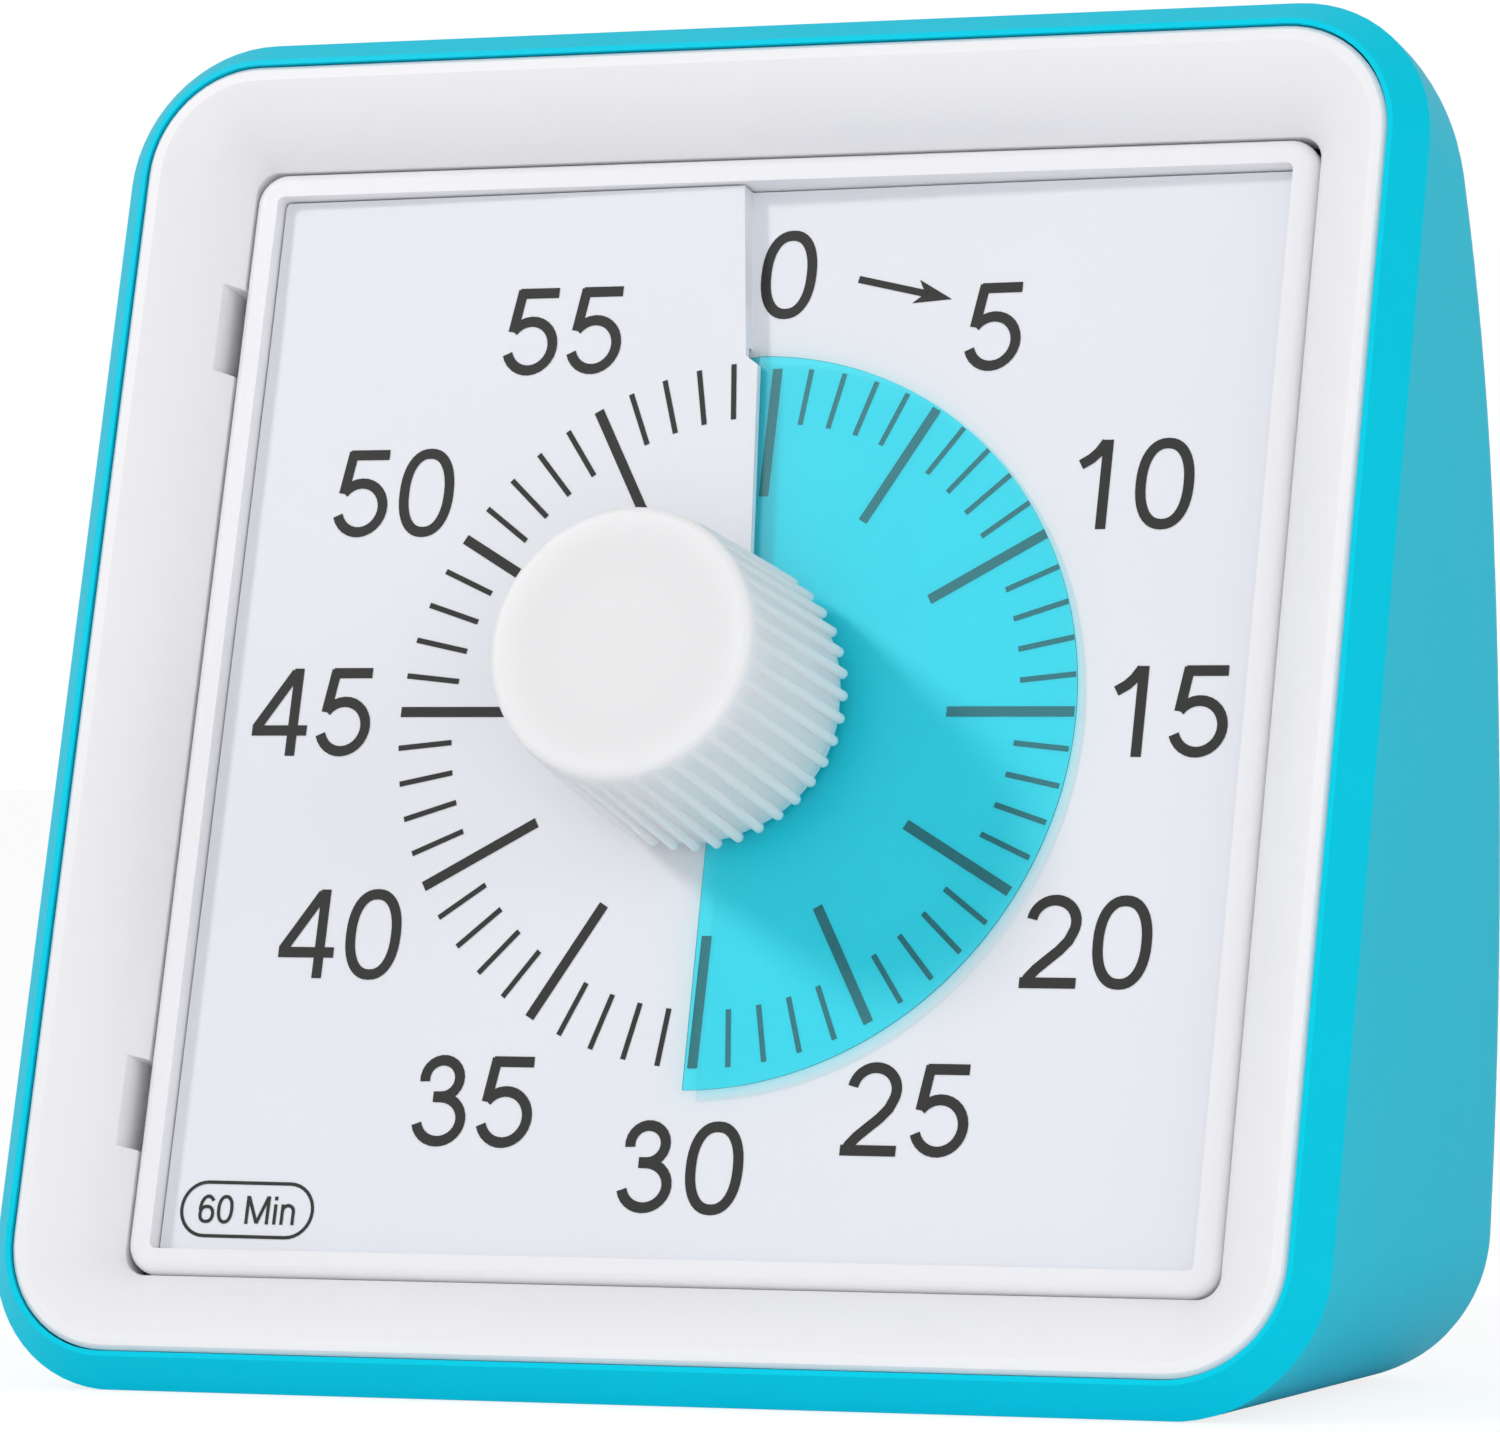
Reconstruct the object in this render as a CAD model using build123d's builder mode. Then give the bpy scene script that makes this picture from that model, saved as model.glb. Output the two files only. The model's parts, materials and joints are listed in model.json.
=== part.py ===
from build123d import *
import os
from math import atan, atan2, cos, degrees, hypot, pi, radians, sin, sqrt, tan

# Visual countdown timer: a wedge-shaped table case with a tilted square face.
# A knob turns a translucent sheet disc that is threaded through a slit in the dial.
# World frame: +Z up, front towards -Y, origin in the middle of the base's rest face.
# Face frame: origin where the shaft crosses the dial, x across, y up the face, z out of it.

os.makedirs("parts", exist_ok=True)

# ---------------------------------------------------------------- driving dimensions
# Face and case
face_size = 80.0            # outer square of the case at the rim's crease
face_tilt = 15.7            # the face leans back from vertical by this many degrees
corner_radius = 8.4         # corner of the outer square
crease_height = 3.2         # crease between rim and side wall, above the dial surface
rim_height = 5.1            # front edge of the rim, above the dial surface
rim_bevel = 1.55            # width that the rim loses between crease and front edge
wall = 2.0                  # wall of the case
base_front = -17.8          # y of the crease's lower edge, the front of the rest face
back_foot = (16.2, 0.0)     # back profile, as (y, z): where it would meet the base
back_middle = (20.4, 31.0)  # fullest point of the back
shoulder = (15.25, -28.5)   # where the back starts to round over, from the face's upper edge
crown = (1.05, 0.39)        # where it passes the top, from the same edge
foot_radius = 4.5           # rounding between the back and the base
rear_plane = 21.6           # plane that the drafted side walls run out to
side_draft = 1.7            # what each side wall comes in by up to that plane
rear_corner = 12.0          # its upper corners
rear_drop = 0.6             # the top wall falls by this much towards that plane
rear_round = 3.0            # rounding along the back's side edges
foot_trim = 0.02            # the drafted form runs this far below the base and is cut flat there

# Fits
fit_gap = 0.10              # between pieces that slip together
run_gap = 0.05              # radial running clearance of shafts and arbors
seat_gap = 0.10             # between a piece and the ledge that it drops on

# Bezel
rim_width = 1.95            # from the case's outer square to the bezel's
bezel_ledge = 0.2           # height of the ledge that the bezel stands on
ledge_width = 0.65
bezel_land = 0.85           # flat strip along the bezel's outer edge
bezel_width = 5.1           # from the bezel's outer square to its inner one
bezel_foot = 0.95           # height of the dished slope's foot
bezel_wall = 1.2            # thickness of the bezel's skirt and inner wall
bezel_skin = 1.3            # thickness under the slope
bezel_roll = 0.8            # outward bulge of the dished slope
bezel_inner = -1.0          # lower edge of the wall round the tray
hook_place = 23.1           # height on the face of the snap hooks, above and below centre
hook_length = 5.3
window_width = 0.7          # windows beside the left hooks, for freeing them
hook_thickness = 1.1
hook_reach = 6.0            # how far the hooks go behind the dial surface
hook_catch = 1.2            # depth of the barb
catch_top = -1.5            # the case's catch pads lie between these heights
catch_back = -4.0

# Dial tray and dial
tray_radius = 1.85          # corner of the tray's outer square
bead_width = 1.45           # the bead is also the tray's wall
bead_height = 1.15
bead_round = 0.62
tray_back = 3.6             # back of the tray's floor, behind the dial surface
tray_floor = 1.2
ledge_reach = 1.2           # ledge under the dial's border
ear_place = 9.0             # height on the face of the screw ears, above and below centre
ear_width = 5.6
ear_length = 4.25
ear_screw = 2.75            # distance of the tray's screws from its side
plate_thickness = 0.5
step_rise = 0.7             # the dial rises by this left of twelve o'clock
step_drop = 0.65            # and dips by this right of it
step_fade = 54.0            # degrees over which rise and dip fade out
plate_hole = 5.6
slit_reach = 21.8           # end of the open slit
slit_start = (1.6, 0.0)     # edge of the raised sheet: beside the shaft,
slit_middle = (0.87, 9.85)  # half-way up,
slit_turn = (0.1, 20.5)     # where it bends in to the slit's end,
slit_close = (-0.7, 21.05)  # past the disc
slit_exit = -2.0            # and where it leaves the plate
slit_lap = 1.0              # the lower sheet goes on under the upper one

# Colour disc
disc_radius = 21.4
disc_thickness = 0.3
disc_hole = 5.2
disc_front = 0.43           # height of the sheet's face in front of the dial
disc_slit = 0.12            # and where it passes the slit
disc_behind = -0.65         # and behind the dial
disc_lead = 180.4           # clock angles of the sheet's two edges
disc_trail = -179.3

# Knob, hub and shaft
knob_bottom = 2.6
knob_top = 15.0
knob_base_radius = 8.12     # body of the knob between the ribs, at its base
knob_front_radius = 7.75
rib_tip_radius = 8.58       # outside of the ribs at the base
rib_front_radius = 7.85     # and at the front
rib_radius = 0.30
rib_count = 40
rib_phase = 6.7             # clock angle of the first rib, in degrees
knob_edge = 0.5
knob_skin = 1.4
knob_boss_radius = 4.2
shaft_radius = 1.98
shaft_flat = 1.45           # distance of the shaft's flat from its axis
shaft_front = 13.2
hub_radius = 5.0
hub_bottom = -1.1
hub_flange = (0.9, 1.6)     # lower and upper face of the flange in front of the sheet
hub_flange_radius = 7.4

# Movement
movement_left = -22.5
movement_right = 22.0
movement_low = -14.0
movement_high = 19.5
movement_front = -3.7
movement_split = -9.0
movement_back = -13.6
movement_wall = 1.2
movement_corner = 2.0
bush_radius = 4.0
bush_top = -1.25
nut_across_flats = 10.0
nut_thickness = 1.2
gear_module = 0.4
addendum = 0.85             # tooth height above the pitch circle, in modules
dedendum = 1.30             # and below it
backlash = 0.22             # share of the tooth thickness that is left free
arbor_radius = 0.5
centre_wheel_teeth = 48
second_wheel_teeth = 40
third_wheel_teeth = 36
second_pinion_teeth = 12
third_pinion_teeth = 10
rotor_pinion_teeth = 9
second_bearing = 180.0      # direction of each arbor from the one before, in degrees
third_bearing = 90.0
rotor_bearing = 15.0
centre_span = (-6.2, -5.2)  # back and front face of each wheel, pinion and magnet
second_pinion_span = (-6.7, -5.0)
second_span = (-8.0, -7.2)
third_pinion_span = (-8.4, -6.9)
third_span = (-9.8, -9.0)
rotor_pinion_span = (-9.9, -8.8)
magnet_span = (-11.4, -10.2)
magnet_radius = 3.0
arbor_span = (-12.9, -4.4)
collar_span = (-7.35, -6.85)
collar_radius = 3.2
cam_span = (-9.3, -8.4)
cam_radius = 4.4
stator_span = (-11.2, -10.5)
coil_place = (15.3, 2.5)
coil_length = 14.0
board_span = (-7.4, -6.6)
movement_screws_at = [(-20.2, -11.7), (19.7, -11.7), (19.7, 17.2), (-20.2, 17.2)]

# Battery bay and door
cell_radius = 7.25
cell_length = 50.5
cell_axis = (8.3, 10.1)     # y and z of the AA cell's axis
spring_room = 4.0           # from the bay's left wall to the cell
contact_room = 1.9          # and from the cell to its right wall
contact_plate = 9.0         # square plates of spring and contact
bay_front = 0.4
bay_roof = 18.1
bay_wall = 1.2
door_rim = 1.0              # the door opening is this much narrower than the bay on each side
door_low = 3.4
door_high = 17.5
door_thickness = 1.7

# Alarm board at the back
board_face = 13.6           # y of the board's front face
board_thickness = 1.0
board_half = 22.0
board_low = 21.5
board_high = 38.5
board_screw_x = 19.0
board_screw_z = (24.3, 35.7)
buzzer_place = (-11.0, 30.0)
buzzer_radius = 7.0
buzzer_depth = 2.9
switch_place = (10.5, 30.0)
switch_travel = 3.0
sound_hole = 0.75
screw_radius = 0.95

# ---------------------------------------------------------------- shared frames
tilt = radians(face_tilt)
face_half = face_size / 2
bezel_half = face_half - rim_width
bezel_bore = bezel_half - bezel_width
tray_half = bezel_bore - fit_gap
tray_corner = tray_half - tray_radius
tray_screw_line = tray_half + ear_screw
plate_half = tray_half - bead_width - fit_gap
bay_half = (spring_room + cell_length + contact_room) / 2
cell_left = spring_room - bay_half
door_half = bay_half - door_rim  # half-width of the door opening
slit_edge = [slit_start, slit_middle, slit_turn, slit_close, (slit_exit, plate_half + 0.75)]
corner_centre = face_half - corner_radius
dial_y = base_front + crease_height * cos(tilt) + face_half * sin(tilt)
dial_z = face_half * cos(tilt) - crease_height * sin(tilt)
face = Plane(origin=(0, dial_y, dial_z), x_dir=(1, 0, 0), z_dir=(0, -cos(tilt), sin(tilt)))
across = face.x_dir
upward = face.y_dir
face_top = (base_front + face_size * sin(tilt), face_size * cos(tilt))  # y and z of the face's upper edge
back_high = (face_top[0] + shoulder[0], face_top[1] + shoulder[1])
back_top = (face_top[0] + crown[0], face_top[1] + crown[1])
rear_width = face_size - 2 * side_draft
rear_height = face_top[1] - rear_drop
rear = Plane(origin=(0, rear_plane, rear_height / 2), x_dir=(1, 0, 0), z_dir=(0, -1, 0))


def rounded_square(half, centre=corner_centre):
    """One of the concentric rounded squares that the face is made of."""
    RectangleRounded(2 * half, 2 * half, half - centre)


def polar(radius, angle):
    """A point in the plane of a gear, from an angle in degrees."""
    return (radius * cos(radians(angle)), radius * sin(radians(angle)))


def clock_plane(clock_angle):
    """The plane through the shaft axis and a clock direction: x outward, y out of the dial."""
    outward = across * sin(radians(clock_angle)) + upward * cos(radians(clock_angle))
    return Plane(origin=face.origin, x_dir=outward, z_dir=outward.cross(face.z_dir))


def spread(first, last, steps):
    """Evenly spaced (angle, height) stations between two of them."""
    return [tuple(a + (b - a) * k / steps for a, b in zip(first, last)) for k in range(steps + 1)]


def climbing_sheet(stations, thickness, inner, outer):
    """A sheet whose upper face climbs with the clock angle through (angle, height) stations."""
    with BuildPart() as sheet:
        for angle, height in stations:
            with BuildSketch(clock_plane(angle)):
                with Locations(((inner + outer) / 2, height - thickness / 2)):
                    Rectangle(outer - inner, thickness)
        loft(ruled=True)
    return sheet.part


def ring_path(half, centre):
    """A closed rounded square on the face, starting at the middle of its right side."""
    with BuildLine(face) as path:
        corner = half - centre
        side = Line((half, 0), (half, centre))
        RadiusArc(side @ 1, (centre, half), -corner)
        Line((centre, half), (-centre, half))
        RadiusArc((-centre, half), (-half, centre), -corner)
        Line((-half, centre), (-half, -centre))
        RadiusArc((-half, -centre), (-centre, -half), -corner)
        Line((-centre, -half), (centre, -half))
        RadiusArc((centre, -half), (half, -centre), -corner)
        Line((half, -centre), (half, 0))
    return path.wire()


def back_profile(inset):
    """Side view of the case, open to the front, inset by a wall."""
    with BuildSketch() as profile:
        with BuildLine():
            back = ThreePointArc(back_foot, back_middle, back_high)
            over = TangentArc(back_high, back_top, tangent=back % 1)
            Polyline(over @ 1, (-face_size, back_top[1]), (-face_size, 0), back @ 0)
        make_face()
        foot = profile.vertices().sort_by_distance((back_foot[0], back_foot[1], 0))[0]
        fillet(foot, foot_radius)
        if inset:
            offset(amount=-inset)
    return profile.sketch_local


def case_form(half, height, inset):
    """The case's drafted outline run back from the face and closed by the back profile."""
    corner = half - corner_centre
    with BuildPart() as form:
        with BuildSketch(face.offset(height)):
            with Locations((0, -foot_trim / 2)):
                RectangleRounded(2 * half, 2 * half + foot_trim, corner)
        with BuildSketch(rear) as outline:
            with Locations((0, -foot_trim / 2)):
                Rectangle(rear_width - 2 * inset, rear_height - 2 * inset + foot_trim)
            fillet(outline.vertices().group_by(Axis.Y)[-1], rear_corner - inset)
            fillet(outline.vertices().group_by(Axis.Y)[0], corner_radius - inset)
        loft(ruled=True)
        with BuildSketch(Plane.YZ):
            add(back_profile(inset))
        extrude(amount=face_size, both=True, mode=Mode.INTERSECT)
    return form.part


def involute_angle(pitch_radius, radius):
    """How far an involute flank has turned, in degrees, between the pitch circle and a radius."""
    base = pitch_radius * cos(radians(20))
    at_pitch = sqrt(max((pitch_radius / base) ** 2 - 1, 0))
    here = sqrt(max((radius / base) ** 2 - 1, 0))
    return degrees((at_pitch - atan(at_pitch)) - (here - atan(here)))


def toothed_wheel(teeth, phase):
    """Outline of a spur gear with one tooth centred on the phase angle."""
    pitch_radius = gear_module * teeth / 2
    radii = [pitch_radius - dedendum * gear_module, pitch_radius, pitch_radius + addendum * gear_module]
    half_tooth = 90 / teeth * (1 - backlash)
    points = []
    for tooth in range(teeth):
        middle = phase + 360 * tooth / teeth
        flank = [(r, half_tooth + involute_angle(pitch_radius, r)) for r in radii]
        points += [polar(r, middle - a) for r, a in flank]
        points += [polar(r, middle + a) for r, a in reversed(flank)]
    with BuildSketch() as wheel:
        with BuildLine():
            Polyline(*points, close=True)
        make_face()
    return wheel.sketch_local


# ---------------------------------------------------------------- case
outer_form = case_form(face_half, crease_height, 0)
inner_half = bezel_half + fit_gap - ledge_width
inner_form = case_form(inner_half, bezel_ledge, wall)
door_inside = case_form(inner_half, bezel_ledge, door_thickness)
wall_inside = rear_plane - 3.2  # y that every rib reaches into, inside the back wall

with BuildPart() as rear_case:
    add(outer_form)
    beside = rear_width / 2 - 4.3
    back_edges = rear_case.edges().filter_by(lambda e: e.center().Y > 9 and abs(e.center().X) > beside)
    fillet(back_edges.filter_by(lambda e: e.length > 8), rear_round)
    with BuildSketch(face.offset(crease_height)):
        rounded_square(face_half)
    extrude(amount=rim_height - crease_height, taper=degrees(atan(rim_bevel / (rim_height - crease_height))))
    add(inner_form, mode=Mode.SUBTRACT)
    with BuildSketch(face.offset(bezel_ledge)):
        rounded_square(bezel_half + fit_gap)
    extrude(amount=rim_height, mode=Mode.SUBTRACT)

# Everything that grows from the inside of the case is trimmed to its inner form.
with BuildPart() as case_ribs:
    # catch pads for the bezel's hooks
    with BuildSketch(face.offset(catch_back)):
        with Locations(*[(x * (face_half - 2.6), y * hook_place) for x in (-1, 1) for y in (-1, 1)]):
            Rectangle(3.6, hook_length + 1.6)
    extrude(amount=catch_top - catch_back)
    # battery bay: roof, front wall and two side walls
    with BuildSketch(Plane.XY.offset(bay_roof)):
        with Locations((0, bay_front - bay_wall)):
            Rectangle(2 * (bay_half + bay_wall), face_half, align=(Align.CENTER, Align.MIN))
    extrude(amount=bay_wall)
    with BuildSketch(Plane.XY):
        with Locations((0, bay_front - bay_wall)):
            Rectangle(2 * (bay_half + bay_wall), bay_wall, align=(Align.CENTER, Align.MIN))
        with Locations((-bay_half - bay_wall / 2, bay_front), (bay_half + bay_wall / 2, bay_front)):
            Rectangle(bay_wall, face_half, align=(Align.CENTER, Align.MIN))
    extrude(amount=bay_roof)
    # cradle ribs under the cell
    for x in (-15.0, 15.0):
        with BuildSketch(Plane.YZ.offset(x - 0.6)):
            with Locations((bay_front, 0)):
                Rectangle(14.0, cell_axis[1] - 2.0, align=(Align.MIN, Align.MIN))
            with Locations(cell_axis):
                Circle(cell_radius + fit_gap, mode=Mode.SUBTRACT)
        extrude(amount=1.2)
    # posts for the alarm board
    with BuildSketch(Plane.XZ.offset(-board_face - board_thickness)):
        with Locations(*[(x, z) for x in (-board_screw_x, board_screw_x) for z in board_screw_z]):
            Circle(2.3)
            Circle(screw_radius, mode=Mode.SUBTRACT)
    extrude(amount=-face_half)

with BuildPart() as case_inside:
    add(case_ribs.part)
    add(inner_form, mode=Mode.INTERSECT)

with BuildPart() as door_form:
    with BuildSketch(Plane.XZ.offset(-bay_front)):
        with Locations((0, (door_low + door_high) / 2)):
            Rectangle(2 * door_half, door_high - door_low)
    extrude(amount=-face_half)

with BuildPart() as rear_case_whole:
    add(rear_case.part)
    add(case_inside.part)
    add(door_form.part, mode=Mode.SUBTRACT)
    # finger notch above the door, sound holes and the switch's slot
    with BuildSketch(Plane.XZ.offset(-wall_inside + 1.2)):
        with Locations((0, door_high)):
            SlotCenterToCenter(9.0, 2.4)
        with Locations(buzzer_place):
            Circle(sound_hole)
            with PolarLocations(3.2, 6):
                Circle(sound_hole)
        with Locations(switch_place):
            RectangleRounded(switch_travel + 4.2, 2.8, 0.5)
    extrude(amount=-6, mode=Mode.SUBTRACT)
rear_case_whole.part.label = "rear_case"
export_step(rear_case_whole.part, "parts/rear_case.step")

# ---------------------------------------------------------------- bezel
with BuildPart() as front_bezel:
    with BuildSketch(clock_plane(90)):
        with BuildLine():
            land = bezel_half - bezel_land
            rim_top = rim_height
            slope = ((land + bezel_bore - bezel_roll) / 2, (rim_top + bezel_foot + bezel_roll) / 2)
            Polyline((bezel_half, bezel_ledge + seat_gap), (bezel_half, rim_top - 0.25),
                     (bezel_half - 0.25, rim_top), (land, rim_top))
            ThreePointArc((land, rim_top), slope, (bezel_bore, bezel_foot))
            Polyline((bezel_bore, bezel_foot), (bezel_bore, bezel_inner), (bezel_bore + bezel_wall, bezel_inner),
                     (bezel_bore + bezel_wall, bezel_foot - 0.1),
                     (bezel_half - bezel_wall, rim_top - bezel_skin - 0.35),
                     (bezel_half - bezel_wall, bezel_ledge + seat_gap),
                     (bezel_half, bezel_ledge + seat_gap))
        make_face()
    sweep(path=ring_path(bezel_half, corner_centre))
    # bosses for the tray's screws
    with BuildSketch(face.offset(-tray_back + tray_floor + seat_gap)):
        with Locations(*[(x * tray_screw_line, y * ear_place) for x in (-1, 1) for y in (-1, 1)]):
            Circle(1.6)
    extrude(amount=4.3)
    with BuildSketch(face.offset(-tray_back + tray_floor + seat_gap)):
        with Locations(*[(x * tray_screw_line, y * ear_place) for x in (-1, 1) for y in (-1, 1)]):
            Circle(screw_radius)
    extrude(amount=3.6, mode=Mode.SUBTRACT)
    # snap hooks, and windows through which the left ones are freed
    hook_inner = bezel_bore + bezel_wall - 0.25
    for side in (-1, 1):
        for height in (-hook_place, hook_place):
            start = face.origin + upward * (height - hook_length / 2)
            with BuildSketch(Plane(origin=start, x_dir=across * side, z_dir=upward)) as hook:
                flip = -side  # the sketch's y runs into or out of the dial
                with BuildLine():
                    Polyline((hook_inner, 1.2 * flip), (hook_inner + hook_thickness, 2.4 * flip),
                             (hook_inner + hook_thickness, (catch_back - seat_gap) * flip),
                             (hook_inner + hook_thickness + hook_catch, (catch_back - seat_gap) * flip),
                             (hook_inner + hook_thickness + hook_catch, (catch_back - 0.6) * flip),
                             (hook_inner + hook_thickness * 0.6, -hook_reach * flip),
                             (hook_inner, -hook_reach * flip), close=True)
                make_face()
            extrude(amount=hook_length)
    with BuildSketch(face.offset(bezel_inner)):
        with Locations(*[(-bezel_bore - window_width / 2, y * hook_place) for y in (-1, 1)]):
            Rectangle(window_width + fit_gap, hook_length)
    extrude(amount=rim_height, mode=Mode.SUBTRACT)
front_bezel.part.label = "front_bezel"
export_step(front_bezel.part, "parts/front_bezel.step")

# ---------------------------------------------------------------- dial tray
tray_inner = tray_half - bead_width
with BuildPart() as dial_tray:
    with BuildSketch(face.offset(-tray_back)):
        rounded_square(tray_half, tray_corner)
    extrude(amount=tray_back + bead_height)
    fillet(dial_tray.faces().sort_by(Axis(face.origin, face.z_dir))[-1].edges(), bead_round)
    with BuildSketch(face.offset(-tray_back + tray_floor)):
        rounded_square(tray_inner - ledge_reach, tray_corner - 2)
    extrude(amount=tray_back, mode=Mode.SUBTRACT)
    with BuildSketch(face.offset(-plate_thickness - seat_gap)):
        rounded_square(tray_inner, tray_corner)
    extrude(amount=bead_height + 1, mode=Mode.SUBTRACT)
    # lower ledge under the part of the dial that dips
    with BuildSketch(face.offset(-plate_thickness - step_drop - 2 * seat_gap)):
        with BuildLine():
            Polyline((-4.0, 22), (-4.0, tray_inner - 0.01), (tray_inner - 0.8, tray_inner - 0.01),
                     (tray_inner - 0.01, tray_inner - 0.8), (tray_inner - 0.01, 22), close=True)
        make_face()
    extrude(amount=1, mode=Mode.SUBTRACT)
    with BuildSketch(face.offset(-tray_back)):
        Circle(bush_radius + fit_gap)
    extrude(amount=tray_floor, mode=Mode.SUBTRACT)
    # screw ears
    with BuildSketch(face.offset(-tray_back)):
        for x in (-1, 1):
            for y in (-ear_place, ear_place):
                with Locations((x * (tray_half + (ear_length - 0.5) / 2), y)):
                    Rectangle(ear_length + 0.5, ear_width)
                with Locations((x * tray_screw_line, y)):
                    Circle(screw_radius + 0.25, mode=Mode.SUBTRACT)
    extrude(amount=tray_floor)
dial_tray.part.label = "dial_tray"
export_step(dial_tray.part, "parts/dial_tray.step")

# ---------------------------------------------------------------- dial plate
far = 1.5 * face_half
with BuildPart() as dial_square:
    with BuildSketch(face.offset(-3)):
        rounded_square(plate_half, tray_corner)
        Circle(plate_hole, mode=Mode.SUBTRACT)
    extrude(amount=6)

# the upper sheet ends on the slit's edge, the lower one goes on under it
past = face_half - 3.0
edge_left = [(x, y) for x, y in slit_edge] + [(slit_exit - 0.6, past), (-far, past), (-far, 0)]
lap_right = [(x - slit_lap, y) for x, y in slit_edge] + [(slit_exit - 0.6 - slit_lap, past), (far, past), (far, 0)]
upper_stations = [(-step_fade, 0.0)] + spread((-step_fade, 0.0), (0.0, step_rise), 6)[1:] + [(12.0, step_rise)]
lower_stations = [(-12.0, -step_drop)] + spread((0.0, -step_drop), (step_fade, 0.0), 6)
with BuildPart() as upper_sheet:
    add(climbing_sheet(upper_stations, plate_thickness, 0.3, 1.2 * face_half))
    add(dial_square.part, mode=Mode.INTERSECT)
    with BuildSketch(face.offset(-3)):
        with BuildLine():
            Polyline(*edge_left, close=True)
        make_face()
    extrude(amount=6, mode=Mode.INTERSECT)
with BuildPart() as lower_sheet:
    add(climbing_sheet(lower_stations, plate_thickness, 0.3, 1.2 * face_half))
    add(dial_square.part, mode=Mode.INTERSECT)
    with BuildSketch(face.offset(-3)):
        with BuildLine():
            Polyline(*lap_right, close=True)
        make_face()
    extrude(amount=6, mode=Mode.INTERSECT)
with BuildPart() as dial_plate:
    with BuildSketch(face.offset(-plate_thickness)):
        rounded_square(plate_half, tray_corner)
        Circle(plate_hole, mode=Mode.SUBTRACT)
        with BuildLine():
            Polyline((0, 0), (far * tan(radians(step_fade)), far), (-far * tan(radians(step_fade)), far), close=True)
        make_face(mode=Mode.SUBTRACT)
    extrude(amount=plate_thickness)
    add(upper_sheet.part)
    add(lower_sheet.part)
    # beyond the slit a small wall closes the step
    with BuildSketch(face.offset(-step_drop - plate_thickness)):
        with BuildLine():
            outer_edge = [(-0.92, slit_reach), slit_edge[4]]
            Polyline(outer_edge[0], outer_edge[1], (outer_edge[1][0] - 0.6, outer_edge[1][1]),
                     (outer_edge[0][0] - 0.6, outer_edge[0][1]), close=True)
        make_face()
    extrude(amount=step_drop + plate_thickness + step_rise - 0.05)
    with BuildSketch(face.offset(-3)):
        rounded_square(plate_half, tray_corner)
        Circle(plate_hole, mode=Mode.SUBTRACT)
    extrude(amount=6, mode=Mode.INTERSECT)
dial_plate.part.label = "dial_plate"
export_step(dial_plate.part, "parts/dial_plate.step")

# ---------------------------------------------------------------- colour disc
with BuildPart() as colour_disc:
    threaded = spread((-step_fade, disc_behind), (0.0, disc_slit), 6)
    threaded += spread((0.0, disc_slit), (step_fade, disc_front), 6)[1:]
    add(climbing_sheet(threaded, disc_thickness, disc_hole - 1, disc_radius + 1))
    behind = [(disc_trail + (-step_fade - disc_trail) * k / 8, disc_behind) for k in range(9)]
    front = [(step_fade + (disc_lead - step_fade) * k / 8, disc_front) for k in range(9)]
    add(climbing_sheet(behind, disc_thickness, disc_hole - 1, disc_radius + 3))
    add(climbing_sheet(front, disc_thickness, disc_hole - 1, disc_radius + 3))
    with BuildSketch(face.offset(-3)):
        Circle(disc_radius)
        Circle(disc_hole, mode=Mode.SUBTRACT)
    extrude(amount=6, mode=Mode.INTERSECT)
colour_disc.part.label = "colour_disc"
export_step(colour_disc.part, "parts/colour_disc.step")

# ---------------------------------------------------------------- hub, knob and shaft


def bored(clearance):
    """Outline of the flatted shaft, with clearance all round."""
    with BuildSketch() as bore:
        Circle(shaft_radius + clearance)
        with Locations((0, shaft_flat + clearance)):
            Rectangle(8, 8, align=(Align.CENTER, Align.MIN), mode=Mode.SUBTRACT)
    return bore.sketch_local


with BuildPart() as disc_hub:
    with BuildSketch(face.offset(hub_bottom)):
        Circle(hub_radius)
        add(bored(fit_gap / 4), mode=Mode.SUBTRACT)
    extrude(amount=hub_flange[1] - hub_bottom)
    with BuildSketch(face.offset(hub_flange[0])):
        Circle(hub_flange_radius)
        Circle(hub_radius - 0.5, mode=Mode.SUBTRACT)
    extrude(amount=hub_flange[1] - hub_flange[0])
disc_hub.part.label = "disc_hub"
export_step(disc_hub.part, "parts/disc_hub.step")

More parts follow.
